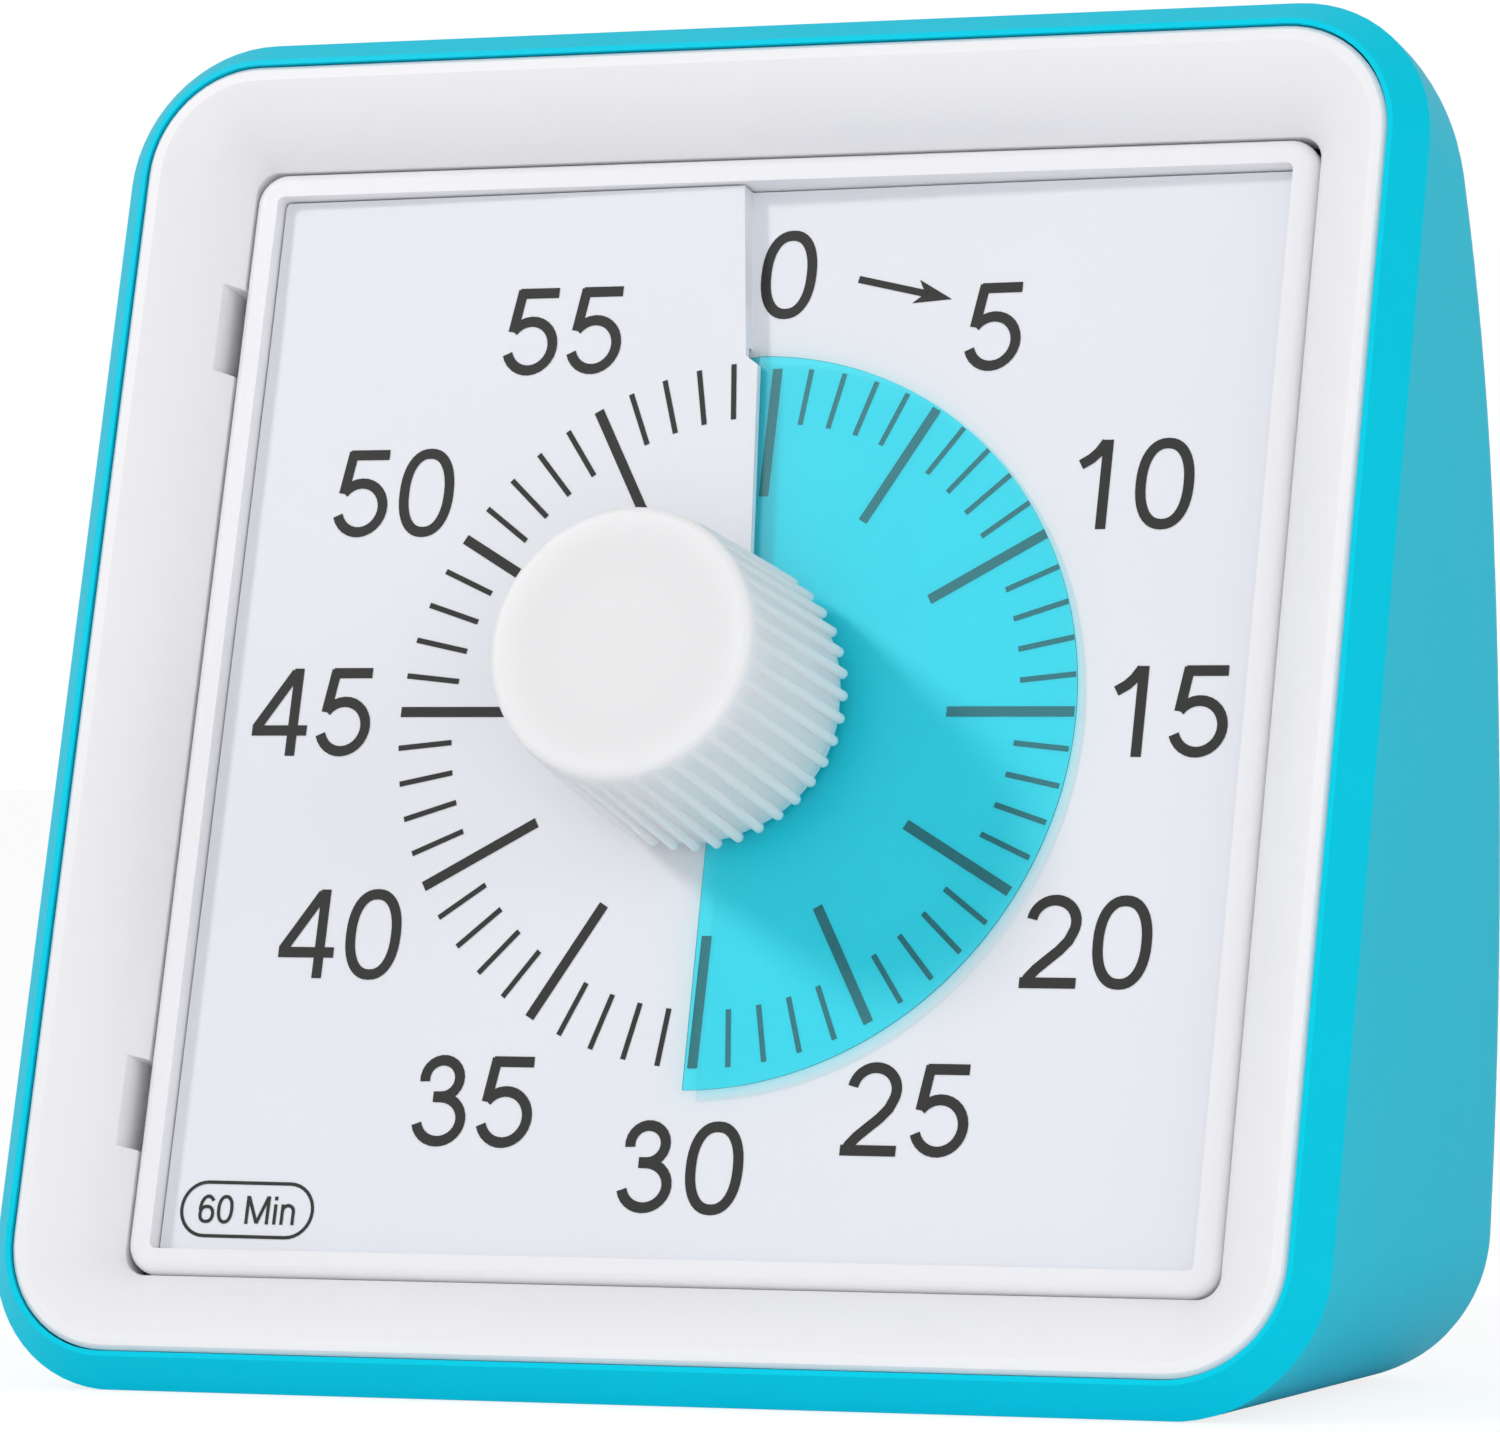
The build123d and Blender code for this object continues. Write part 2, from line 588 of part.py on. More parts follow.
with BuildPart() as knob:
    with BuildSketch(face.offset(knob_bottom)):
        Circle(knob_base_radius)
    with BuildSketch(face.offset(knob_top)):
        Circle(knob_front_radius)
    loft(ruled=True)
    with BuildPart(mode=Mode.PRIVATE) as rib:
        foot = Location(face) * Pos(*polar(rib_tip_radius - rib_radius, 90 - rib_phase), knob_bottom)
        tip = Location(face) * Pos(*polar(rib_front_radius - rib_radius, 90 - rib_phase), knob_top)
        with BuildSketch(Plane(foot)):
            Circle(rib_radius)
        with BuildSketch(Plane(tip)):
            Circle(rib_radius)
        loft(ruled=True)
    axis = Axis(face.origin, face.z_dir)
    for count in range(rib_count):
        add(rib.part.rotate(axis, 360 * count / rib_count))
    # the front edge is rounded by cutting everything to one turned outline
    with BuildSketch(clock_plane(90)):
        with BuildLine():
            Polyline((0, knob_bottom), (rib_tip_radius + 1, knob_bottom), (rib_tip_radius + 1, knob_top - 3),
                     (knob_front_radius + 0.35, knob_top - 3), (knob_front_radius, knob_top - knob_edge))
            RadiusArc((knob_front_radius, knob_top - knob_edge), (knob_front_radius - knob_edge, knob_top),
                      -knob_edge)
            Polyline((knob_front_radius - knob_edge, knob_top), (0, knob_top), (0, knob_bottom))
        make_face()
    revolve(axis=axis, mode=Mode.INTERSECT)
    with BuildSketch(face.offset(knob_bottom)):
        Circle(knob_front_radius - knob_skin)
        Circle(knob_boss_radius, mode=Mode.SUBTRACT)
    extrude(amount=knob_top - knob_bottom - knob_skin, mode=Mode.SUBTRACT)
    with BuildSketch(face.offset(hub_flange[1] + seat_gap)):
        Circle(knob_boss_radius)
    extrude(amount=knob_bottom - hub_flange[1])
    with BuildSketch(face.offset(hub_flange[1])):
        add(bored(fit_gap / 4))
    extrude(amount=shaft_front + seat_gap - hub_flange[1], mode=Mode.SUBTRACT)
knob.part.label = "knob"
export_step(knob.part, "parts/knob.step")

with BuildPart() as drive_shaft:
    with BuildSketch(face.offset(hub_bottom - 0.05)):
        add(bored(0))
    extrude(amount=shaft_front - hub_bottom + 0.05)
    with BuildSketch(face.offset(cam_span[0])):
        Circle(shaft_radius)
    extrude(amount=hub_bottom - 0.05 - cam_span[0])
    with BuildSketch(face.offset(collar_span[0])):
        Circle(collar_radius)
    extrude(amount=collar_span[1] - collar_span[0])
    with BuildSketch(face.offset(cam_span[0])):
        Circle(cam_radius)
        with Locations((0, -cam_radius)):
            Circle(0.9, mode=Mode.SUBTRACT)
    extrude(amount=cam_span[1] - cam_span[0])
    with BuildSketch(face.offset(arbor_span[0])):
        Circle(1.0)
    extrude(amount=cam_span[0] - arbor_span[0])
drive_shaft.part.label = "drive_shaft"
export_step(drive_shaft.part, "parts/drive_shaft.step")

with BuildPart() as clutch_spring:
    with BuildSketch(clock_plane(90)):
        with BuildLine():
            Polyline((shaft_radius + fit_gap, -6.82), (collar_radius - 0.4, -6.82), (3.9, -6.42),
                     (3.9, -6.24), (collar_radius - 0.4, -6.64), (shaft_radius + fit_gap, -6.64), close=True)
        make_face()
    revolve(axis=axis)
clutch_spring.part.label = "clutch_spring"
export_step(clutch_spring.part, "parts/clutch_spring.step")

# ---------------------------------------------------------------- movement case
with BuildPart() as movement_bush:
    with BuildSketch(face.offset(movement_front)):
        Circle(bush_radius)
        Circle(shaft_radius + run_gap, mode=Mode.SUBTRACT)
    extrude(amount=bush_top - movement_front)
    with BuildSketch(face.offset(movement_front - movement_wall - 0.3)):
        Circle(bush_radius - 1.0)
        Circle(shaft_radius + run_gap, mode=Mode.SUBTRACT)
    extrude(amount=movement_wall + 0.3)
movement_bush.part.label = "movement_bush"
export_step(movement_bush.part, "parts/movement_bush.step")

with BuildPart() as mounting_nut:
    with BuildSketch(face.offset(-tray_back + tray_floor)):
        RegularPolygon(nut_across_flats / 2, 6, major_radius=False)
        Circle(bush_radius + run_gap, mode=Mode.SUBTRACT)
    extrude(amount=nut_thickness)
    chamfer(mounting_nut.faces().sort_by(axis)[-1].outer_wire().edges(), 0.25)
mounting_nut.part.label = "mounting_nut"
export_step(mounting_nut.part, "parts/mounting_nut.step")

pitch = {n: gear_module * n / 2 for n in (48, 40, 36, 12, 10, 9)}
centre_at = (0.0, 0.0)
second_step = polar(gear_module * (centre_wheel_teeth + second_pinion_teeth) / 2, second_bearing)
third_step = polar(gear_module * (second_wheel_teeth + third_pinion_teeth) / 2, third_bearing)
rotor_step = polar(gear_module * (third_wheel_teeth + rotor_pinion_teeth) / 2, rotor_bearing)
second_at = second_step
third_at = (second_at[0] + third_step[0], second_at[1] + third_step[1])
rotor_at = (third_at[0] + rotor_step[0], third_at[1] + rotor_step[1])
arbors = [second_at, third_at, rotor_at]
box_centre = ((movement_left + movement_right) / 2, (movement_low + movement_high) / 2)
box_size = (movement_right - movement_left, movement_high - movement_low)


def movement_box(grow):
    """Outline of the movement's housing, grown or shrunk."""
    with Locations(box_centre):
        RectangleRounded(box_size[0] + 2 * grow, box_size[1] + 2 * grow, movement_corner + grow)


with BuildPart() as movement_case:
    with BuildSketch(face.offset(movement_split)):
        movement_box(0)
    extrude(amount=movement_front - movement_split)
    with BuildSketch(face.offset(movement_split)):
        movement_box(-movement_wall)
    extrude(amount=movement_front - movement_wall - movement_split, mode=Mode.SUBTRACT)
    # bosses for the cover's screws and posts for the circuit board
    with BuildSketch(face.offset(movement_split)):
        with Locations(*movement_screws_at):
            Circle(1.7)
    extrude(amount=movement_front - movement_split - 0.2)
    with BuildSketch(face.offset(movement_split)):
        with Locations(*movement_screws_at):
            Circle(screw_radius)
    extrude(amount=4, mode=Mode.SUBTRACT)
    with BuildSketch(face.offset(board_span[1])):
        with Locations((12.4, -7.0), (12.4, 12.0), (19.4, 3.0)):
            Circle(0.9)
    extrude(amount=movement_front - board_span[1] - 0.2)
    with BuildSketch(face.offset(movement_split)):
        with Locations(*arbors):
            Circle(arbor_radius + run_gap)
    extrude(amount=arbor_span[1] + seat_gap - movement_split, mode=Mode.SUBTRACT)
    with BuildSketch(face.offset(movement_front - 2 * movement_wall)):
        Circle(bush_radius - 1.0)
    extrude(amount=3 * movement_wall, mode=Mode.SUBTRACT)
movement_case.part.label = "movement_case"
export_step(movement_case.part, "parts/movement_case.step")

with BuildPart() as movement_cover:
    with BuildSketch(face.offset(movement_back)):
        movement_box(0)
    extrude(amount=movement_split - movement_back)
    with BuildSketch(face.offset(movement_back + movement_wall)):
        movement_box(-movement_wall)
    extrude(amount=movement_split - movement_back, mode=Mode.SUBTRACT)
    with BuildSketch(face.offset(movement_back)):
        with Locations(*movement_screws_at):
            Circle(1.7)
    extrude(amount=movement_split - movement_back)
    with BuildSketch(face.offset(movement_back)):
        with Locations(*movement_screws_at):
            Circle(screw_radius + 0.2)
    extrude(amount=8, mode=Mode.SUBTRACT)
    # bearing pips and rests for the stator
    with BuildSketch(face.offset(movement_back)):
        with Locations(*arbors):
            Circle(1.2)
        Circle(2.0)
    extrude(amount=movement_wall + 0.3)
    with BuildSketch(face.offset(movement_back)):
        with Locations((6.0, 10.9), (8.4, -5.9)):
            Circle(1.1)
    extrude(amount=stator_span[0] - movement_back)
    with BuildSketch(face.offset(arbor_span[0] - seat_gap)):
        with Locations(*arbors):
            Circle(arbor_radius + run_gap)
        Circle(1.0 + run_gap)
    extrude(amount=2, mode=Mode.SUBTRACT)
movement_cover.part.label = "movement_cover"
export_step(movement_cover.part, "parts/movement_cover.step")

# ---------------------------------------------------------------- gear train
# Each pinion has a gap where the wheel that drives it has a tooth.
second_phase = second_bearing + 180 + 180 / second_pinion_teeth
third_phase = third_bearing + 180 + 180 / third_pinion_teeth
rotor_phase = rotor_bearing + 180 + 180 / rotor_pinion_teeth

with BuildPart() as centre_wheel:
    with BuildSketch(face.offset(centre_span[0])):
        add(toothed_wheel(centre_wheel_teeth, second_bearing))
        Circle(shaft_radius + run_gap, mode=Mode.SUBTRACT)
        with PolarLocations(6.0, 5):
            Circle(1.7, mode=Mode.SUBTRACT)
    extrude(amount=centre_span[1] - centre_span[0])
centre_wheel.part.label = "centre_wheel"
export_step(centre_wheel.part, "parts/centre_wheel.step")


def geared_arbor(place, wheel, wheel_phase, wheel_span, pinion, pinion_phase, pinion_span):
    """A wheel and a pinion in one piece with their arbor."""
    with BuildPart() as item:
        spot = Plane(origin=face.from_local_coords(Vector(*place, 0)), x_dir=across, z_dir=face.z_dir)
        with BuildSketch(spot.offset(wheel_span[0])):
            add(toothed_wheel(wheel, wheel_phase))
        extrude(amount=wheel_span[1] - wheel_span[0])
        with BuildSketch(spot.offset(pinion_span[0])):
            add(toothed_wheel(pinion, pinion_phase))
        extrude(amount=pinion_span[1] - pinion_span[0])
        with BuildSketch(spot.offset(wheel_span[0])):
            Circle(1.1)
        extrude(amount=pinion_span[0] - wheel_span[0])
        with BuildSketch(spot.offset(arbor_span[0])):
            Circle(arbor_radius)
        extrude(amount=arbor_span[1] - arbor_span[0])
    return item.part


second_wheel = geared_arbor(second_at, second_wheel_teeth, third_bearing, second_span,
                            second_pinion_teeth, second_phase, second_pinion_span)
second_wheel.label = "second_wheel"
export_step(second_wheel, "parts/second_wheel.step")

third_wheel = geared_arbor(third_at, third_wheel_teeth, rotor_bearing, third_span,
                           third_pinion_teeth, third_phase, third_pinion_span)
third_wheel.label = "third_wheel"
export_step(third_wheel, "parts/third_wheel.step")

with BuildPart() as rotor:
    spot = Plane(origin=face.from_local_coords(Vector(*rotor_at, 0)), x_dir=across, z_dir=face.z_dir)
    with BuildSketch(spot.offset(rotor_pinion_span[0])):
        add(toothed_wheel(rotor_pinion_teeth, rotor_phase))
    extrude(amount=rotor_pinion_span[1] - rotor_pinion_span[0])
    with BuildSketch(spot.offset(magnet_span[0])):
        Circle(magnet_radius)
    extrude(amount=magnet_span[1] - magnet_span[0])
    with BuildSketch(spot.offset(arbor_span[0])):
        Circle(arbor_radius)
    extrude(amount=arbor_span[1] - arbor_span[0])
rotor.part.label = "rotor"
export_step(rotor.part, "parts/rotor.step")

# ---------------------------------------------------------------- motor and circuit
leg_half = 1.3
leg_top = coil_place[1] + coil_length / 2 + leg_half + fit_gap
leg_low = coil_place[1] - coil_length / 2 - leg_half - fit_gap
with BuildPart() as stator:
    with BuildSketch(face.offset(stator_span[0])):
        with Locations(rotor_at):
            Circle(magnet_radius + 2.0)
        with BuildLine():
            Polyline((rotor_at[0], leg_top + leg_half), (coil_place[0] + 1.2, leg_top + leg_half),
                     (coil_place[0] + 1.2, leg_top - leg_half), (rotor_at[0], leg_top - leg_half), close=True)
        make_face()
        with BuildLine():
            Polyline((rotor_at[0] + 1.1, rotor_at[1] - 4.2), (4.8, leg_low + 0.6), (5.9, leg_low - leg_half),
                     (coil_place[0] + 1.2, leg_low - leg_half), (coil_place[0] + 1.2, leg_low + leg_half),
                     (7.6, leg_low + leg_half), (rotor_at[0] + 4.4, rotor_at[1] - 2.2), close=True)
        make_face()
        with Locations(coil_place):
            Rectangle(2.4, coil_length + 3)
        with Locations(rotor_at):
            Circle(magnet_radius + 0.4, mode=Mode.SUBTRACT)
    extrude(amount=stator_span[1] - stator_span[0])
stator.part.label = "stator"
export_step(stator.part, "parts/stator.step")

coil_middle = (stator_span[0] + stator_span[1]) / 2
coil_plane = Plane(origin=face.from_local_coords(Vector(coil_place[0], coil_place[1] - coil_length / 2, coil_middle)),
                   x_dir=across, z_dir=upward)
with BuildPart() as coil:
    with BuildSketch(coil_plane):
        RectangleRounded(5.2, 2.5, 1.0)
    extrude(amount=coil_length)
    with BuildSketch(coil_plane, coil_plane.offset(coil_length - 0.7)):
        RectangleRounded(6.2, 2.9, 0.5)
    extrude(amount=0.7)
    with BuildSketch(coil_plane):
        Rectangle(2.4 + 2 * fit_gap, stator_span[1] - stator_span[0] + 2 * fit_gap)
    extrude(amount=coil_length, mode=Mode.SUBTRACT)
coil.part.label = "coil"
export_step(coil.part, "parts/coil.step")

with BuildPart() as circuit_board:
    with BuildSketch(face.offset(board_span[0])):
        with Locations((15.7, 2.5)):
            RectangleRounded(9.4, 22.6, 0.6)
    extrude(amount=board_span[1] - board_span[0])
    # a moulded blob over the chip
    with BuildSketch(face.offset(board_span[0])):
        with Locations((15.7, -2.0)):
            Circle(2.4)
    extrude(amount=-0.7)
    fillet(circuit_board.faces().sort_by(axis)[0].edges(), 0.5)
circuit_board.part.label = "circuit_board"
export_step(circuit_board.part, "parts/circuit_board.step")

crystal_plane = Plane(origin=face.from_local_coords(Vector(18.2, 5.0, board_span[0] - 0.62)),
                      x_dir=across, z_dir=upward)
with BuildPart() as crystal:
    with BuildSketch(crystal_plane):
        Circle(0.6)
    extrude(amount=5.0)
    fillet(crystal.faces().sort_by(Axis(face.origin, upward))[-1].edges(), 0.3)
crystal.part.label = "crystal"
export_step(crystal.part, "parts/crystal.step")

with BuildPart() as end_contact:
    with BuildSketch(face.offset(board_span[0] - 1.9)):
        with BuildLine():
            Polyline((11.4, -8.4), (13.6, -8.4), (13.6, -6.4), (12.9, -6.4), (5.4, -0.6), (4.9, 1.6),
                     (4.65, 1.55), (5.15, -0.75), (11.4, -5.6), close=True)
        make_face()
    extrude(amount=0.8)
    with BuildSketch(face.offset(board_span[0] - 1.9)):
        with Locations((12.5, -7.4)):
            Rectangle(2.2, 1.8)
    extrude(amount=1.88)
end_contact.part.label = "end_contact"
export_step(end_contact.part, "parts/end_contact.step")

# ---------------------------------------------------------------- battery and its contacts
cell_plane = Plane(origin=(cell_left, *cell_axis), x_dir=(0, 1, 0), z_dir=(1, 0, 0))
with BuildPart() as battery:
    with BuildSketch(cell_plane):
        Circle(cell_radius)
    extrude(amount=cell_length - 1.2)
    fillet(battery.edges().filter_by(GeomType.CIRCLE), 0.5)
    with BuildSketch(cell_plane.offset(cell_length - 1.2)):
        Circle(2.7)
    extrude(amount=1.2)
battery.part.label = "battery"
export_step(battery.part, "parts/battery.step")

with BuildPart() as battery_contact:
    with BuildSketch(Plane.YZ.offset(bay_half - 0.5)):
        with Locations(cell_axis):
            RectangleRounded(contact_plate, contact_plate, 1.0)
    extrude(amount=0.4)
    with BuildSketch(Plane.YZ.offset(cell_left + cell_length + 0.05)):
        with Locations(cell_axis):
            Circle(2.2)
    extrude(amount=bay_half - 0.5 - cell_left - cell_length)
battery_contact.part.label = "battery_contact"
export_step(battery_contact.part, "parts/battery_contact.step")

with BuildPart() as battery_spring:
    with BuildSketch(Plane.YZ.offset(-bay_half + 0.1)):
        with Locations(cell_axis):
            RectangleRounded(contact_plate, contact_plate, 1.0)
    extrude(amount=0.4)
    with BuildLine() as coil_line:
        Helix(pitch=0.95, height=spring_room - 1.15, radius=3.4, center=(-bay_half + 0.75, *cell_axis),
              direction=(1, 0, 0), cone_angle=-12)
    with BuildSketch(Plane(origin=coil_line.line @ 0, z_dir=coil_line.line % 0)):
        Circle(0.26)
    sweep(path=coil_line.line)
battery_spring.part.label = "battery_spring"
export_step(battery_spring.part, "parts/battery_spring.step")

with BuildPart() as battery_door:
    with BuildSketch(Plane.XZ.offset(-bay_front)):
        with Locations((0, (door_low + door_high) / 2)):
            Rectangle(2 * (door_half - fit_gap), door_high - door_low - 2 * fit_gap)
    extrude(amount=-face_half)
    add(outer_form, mode=Mode.INTERSECT)
    add(door_inside, mode=Mode.SUBTRACT)
battery_door.part.label = "battery_door"
export_step(battery_door.part, "parts/battery_door.step")

# ---------------------------------------------------------------- alarm
board_back = -board_face - board_thickness  # offsets of the XZ plane run towards -Y
with BuildPart() as alarm_board:
    with BuildSketch(Plane.XZ.offset(board_back)):
        with Locations((0, (board_low + board_high) / 2)):
            RectangleRounded(2 * board_half, board_high - board_low, 1.0)
        with Locations(*[(x, z) for x in (-board_screw_x, board_screw_x) for z in board_screw_z]):
            Circle(screw_radius + 0.15, mode=Mode.SUBTRACT)
    extrude(amount=board_thickness)
alarm_board.part.label = "alarm_board"
export_step(alarm_board.part, "parts/alarm_board.step")

with BuildPart() as buzzer:
    with BuildSketch(Plane.XZ.offset(board_back)):
        with Locations(buzzer_place):
            Circle(buzzer_radius)
    extrude(amount=-buzzer_depth)
    fillet(buzzer.faces().sort_by(Axis.Y)[-1].edges(), 0.4)
    with BuildSketch(Plane.XZ.offset(board_back - buzzer_depth)):
        with Locations(buzzer_place):
            Circle(1.2)
    extrude(amount=0.8, mode=Mode.SUBTRACT)
buzzer.part.label = "buzzer"
export_step(buzzer.part, "parts/buzzer.step")

with BuildPart() as switch_body:
    with BuildSketch(Plane.XZ.offset(board_back)):
        with Locations(switch_place):
            Rectangle(9.4, 4.6)
    extrude(amount=-2.6)
    with BuildSketch(Plane.XZ.offset(board_back - 1.0)):
        with Locations(switch_place):
            Rectangle(switch_travel + 2.0 + 2 * fit_gap, 2.0 + 2 * fit_gap)
    extrude(amount=-2.6, mode=Mode.SUBTRACT)
switch_body.part.label = "switch_body"
export_step(switch_body.part, "parts/switch_body.step")

with BuildPart() as switch_slider:
    with BuildSketch(Plane.XZ.offset(board_back - 1.0 - seat_gap)):
        with Locations((switch_place[0] - switch_travel / 2, switch_place[1])):
            Rectangle(2.0, 2.0)
    extrude(amount=-5.6)
    chamfer(switch_slider.faces().sort_by(Axis.Y)[-1].edges(), 0.25)
switch_slider.part.label = "switch_slider"
export_step(switch_slider.part, "parts/switch_slider.step")


# ---------------------------------------------------------------- screws
def screw(head_plane, length, head_radius, head_height):
    """A pan-head self-tapping screw, head outward on the plane, shank going the other way."""
    with BuildPart() as item:
        with BuildSketch(head_plane):
            Circle(head_radius)
        extrude(amount=head_height)
        fillet(item.faces().sort_by(Axis(head_plane.origin, head_plane.z_dir))[-1].edges(), head_height * 0.45)
        with BuildSketch(head_plane.offset(head_height)):
            Rectangle(head_radius * 1.1, 0.35)
            Rectangle(0.35, head_radius * 1.1)
        extrude(amount=-head_height * 0.5, mode=Mode.SUBTRACT)
        with BuildSketch(head_plane):
            Circle(screw_radius - 0.05)
        extrude(amount=-length)
        chamfer(item.faces().sort_by(Axis(head_plane.origin, head_plane.z_dir))[0].edges(), 0.3)
    return item.part


def face_screws(places, height, length, head_radius, head_height):
    """Screws that are driven from behind, along the shaft's direction."""
    found = []
    for place in places:
        spot = face.from_local_coords(Vector(*place, height))
        found.append(screw(Plane(origin=spot, x_dir=across, z_dir=-face.z_dir), length, head_radius, head_height))
    return Compound(children=found)


tray_screw_places = [(x * tray_screw_line, y * ear_place) for x in (-1, 1) for y in (-1, 1)]
tray_screws = face_screws(tray_screw_places, -tray_back - 0.02, 4.6, 1.5, 0.9)
tray_screws.label = "tray_screws"
export_step(tray_screws, "parts/tray_screws.step")

movement_screws = face_screws(movement_screws_at, movement_back - 0.02, 7.4, 1.5, 0.6)
movement_screws.label = "movement_screws"
export_step(movement_screws, "parts/movement_screws.step")

board_screw_list = []
for x in (-board_screw_x, board_screw_x):
    for z in board_screw_z:
        spot = Plane(origin=(x, board_face - 0.02, z), x_dir=(1, 0, 0), z_dir=(0, -1, 0))
        board_screw_list.append(screw(spot, 4.2, 1.6, 0.8))
board_screws = Compound(children=board_screw_list)
board_screws.label = "board_screws"
export_step(board_screws, "parts/board_screws.step")
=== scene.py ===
import json
import math

import bpy
from mathutils import Matrix, Vector


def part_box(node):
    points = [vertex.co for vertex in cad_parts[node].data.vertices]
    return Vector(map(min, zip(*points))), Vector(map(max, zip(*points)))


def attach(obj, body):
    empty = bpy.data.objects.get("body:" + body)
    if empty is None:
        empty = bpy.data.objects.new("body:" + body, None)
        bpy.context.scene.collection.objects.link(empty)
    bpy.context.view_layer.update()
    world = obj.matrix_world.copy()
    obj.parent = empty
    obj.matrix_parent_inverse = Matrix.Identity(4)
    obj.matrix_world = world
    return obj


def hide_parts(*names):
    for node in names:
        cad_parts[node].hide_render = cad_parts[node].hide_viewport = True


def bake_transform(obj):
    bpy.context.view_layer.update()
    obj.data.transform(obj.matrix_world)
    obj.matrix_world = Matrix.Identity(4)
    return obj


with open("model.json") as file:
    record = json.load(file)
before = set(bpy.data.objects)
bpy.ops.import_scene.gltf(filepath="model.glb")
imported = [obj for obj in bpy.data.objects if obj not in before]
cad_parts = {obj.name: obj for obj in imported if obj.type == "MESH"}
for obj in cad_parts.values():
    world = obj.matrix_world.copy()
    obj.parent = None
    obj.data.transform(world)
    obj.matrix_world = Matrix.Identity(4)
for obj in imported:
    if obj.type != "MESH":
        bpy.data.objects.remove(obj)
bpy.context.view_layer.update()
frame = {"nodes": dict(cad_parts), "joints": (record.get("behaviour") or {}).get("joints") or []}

bl_info = {
    "name": "Visual Countdown Timer",
    "version": (1, 0, 0),
    "blender": (4, 5, 0),
    "location": "View3D > Sidebar > Timer",
    "description": "Dresses the countdown timer's solids, prints its dial and sets its studio",
    "category": "Object",
}

MM = 0.001
NODES = frame["nodes"]
JOINTS = {joint["name"]: joint for joint in frame["joints"]}

# The dial's own axes: across it, up it and out of it. The knob's joint lies this many millimetres in front.
PIVOT_HEIGHT = 9.0
OUT = -Vector(JOINTS["dial_turn"]["axis"]).normalized()
ACROSS = Vector((1, 0, 0))
UP = OUT.cross(ACROSS)
DIAL = Vector(JOINTS["dial_turn"]["pos_m"]) - OUT * PIVOT_HEIGHT * MM

# Where the camera stands, in millimetres, where it looks and which way is up for it.
CAMERA_AT = (182.915, -426.726, 35.934)
CAMERA_AHEAD = (-0.39406, 0.919078, 0.003654)
CAMERA_TOP = (0.005696, -0.001533, 0.999983)


def on_dial(u, v, n=0.0):
    """A point in the row frame, in metres, from millimetres across, up and out of the dial."""
    return DIAL + (ACROSS * u + UP * v + OUT * n) * MM


# ------------------------------------------------------------------ settings
def colour(name, text, value):
    return bpy.props.FloatVectorProperty(name=name, description=text, default=value, size=3, min=0.0, max=1.0,
                                         subtype="COLOR")


def share(name, text, value):
    return bpy.props.FloatProperty(name=name, description=text, default=value, min=0.0, max=1.0,
                                   subtype="FACTOR")


def length(name, text, value):
    return bpy.props.FloatProperty(name=name, description=text, default=value, unit="LENGTH",
                                   subtype="DISTANCE", precision=5)


class TimerFinishes(bpy.types.PropertyGroup):
    """Colours and gloss of the timer's pieces."""
    case_cyan: colour("Case", "Moulded shell and battery door", (0.0, 0.62, 0.80))
    bezel_white: colour("Bezel", "Dished frame round the dial", (0.872, 0.862, 0.880))
    tray_white: colour("Tray", "Bead round the dial", (0.83, 0.825, 0.845))
    dial_white: colour("Dial", "Printed plate", (0.78, 0.80, 0.84))
    knob_white: colour("Knob", "Ribbed knob", (0.82, 0.805, 0.81))
    ink: colour("Ink", "Numbers and minute marks", (0.034, 0.033, 0.032))
    film_tint: colour("Film tint", "Light that each face of the disc lets through", (0.30, 0.962, 0.998))
    film_body: colour("Film body", "Light that the disc sends back", (0.0, 0.82, 1.0))
    # Painted shadow: the disc's cut edge is coloured dark teal so that it draws the shadow line along the
    # disc's edge.
    film_edge: colour("Film edge", "Cut edge of the disc", (0.0, 0.16, 0.22))
    case_roughness: share("Case roughness", "Roughness of the shell", 0.36)
    white_roughness: share("White roughness", "Roughness of bezel and knob", 0.42)


class TimerPrint(bpy.types.PropertyGroup):
    """Sizes of what is printed on the dial."""
    ring: length("Ring radius", "Outer end of the minute marks", 20.57 * MM)
    number_ring: length("Number radius", "Circle on which the numbers stand", 26.2 * MM)
    digit: length("Digit height", "Height of the numbers", 5.2 * MM)
    small_digit: length("Small digit height", "Height of the words in the frame", 1.62 * MM)
    shift_u: length("Shift across", "Printed centre from the shaft, across", 0.5 * MM)
    shift_v: length("Shift up", "Printed centre from the shaft, up", 0.22 * MM)
    pull_u: length("Pull across", "How far the printing is drawn right at twelve o'clock", 0.2 * MM)
    pull_v: length("Pull down", "How far it is drawn down there", 0.16 * MM)
    turn: bpy.props.FloatProperty(name="Turn", description="Clockwise turn of the printing on the dial",
                                  default=math.radians(0.3), subtype="ANGLE")
    lift: length("Ink height", "Ink above the plate", 0.03 * MM)
    long_mark: share("Long mark", "Inner end of the five-minute marks, as a share of the ring", 0.631)
    short_mark: share("Short mark", "Inner end of the minute marks, as a share of the ring", 0.839)
    bold: length("Long mark width", "Width of the five-minute marks", 0.60 * MM)
    fine: length("Short mark width", "Width of the minute marks", 0.32 * MM)


class TimerStudio(bpy.types.PropertyGroup):
    """Camera and light."""
    lens: bpy.props.FloatProperty(name="Lens", description="Focal length", default=197.0, unit="CAMERA")
    key: bpy.props.FloatProperty(name="Key", description="Power of the main lamp", default=1.49, unit="POWER")
    fill: bpy.props.FloatProperty(name="Fill", description="Power of the lamp on the right", default=1.0,
                                  unit="POWER")
    low: bpy.props.FloatProperty(name="Low lamp", description="Power of the low lamp in front", default=0.17,
                                 unit="POWER")
    air: bpy.props.FloatProperty(name="Room light", description="Strength of the room's light", default=0.58)


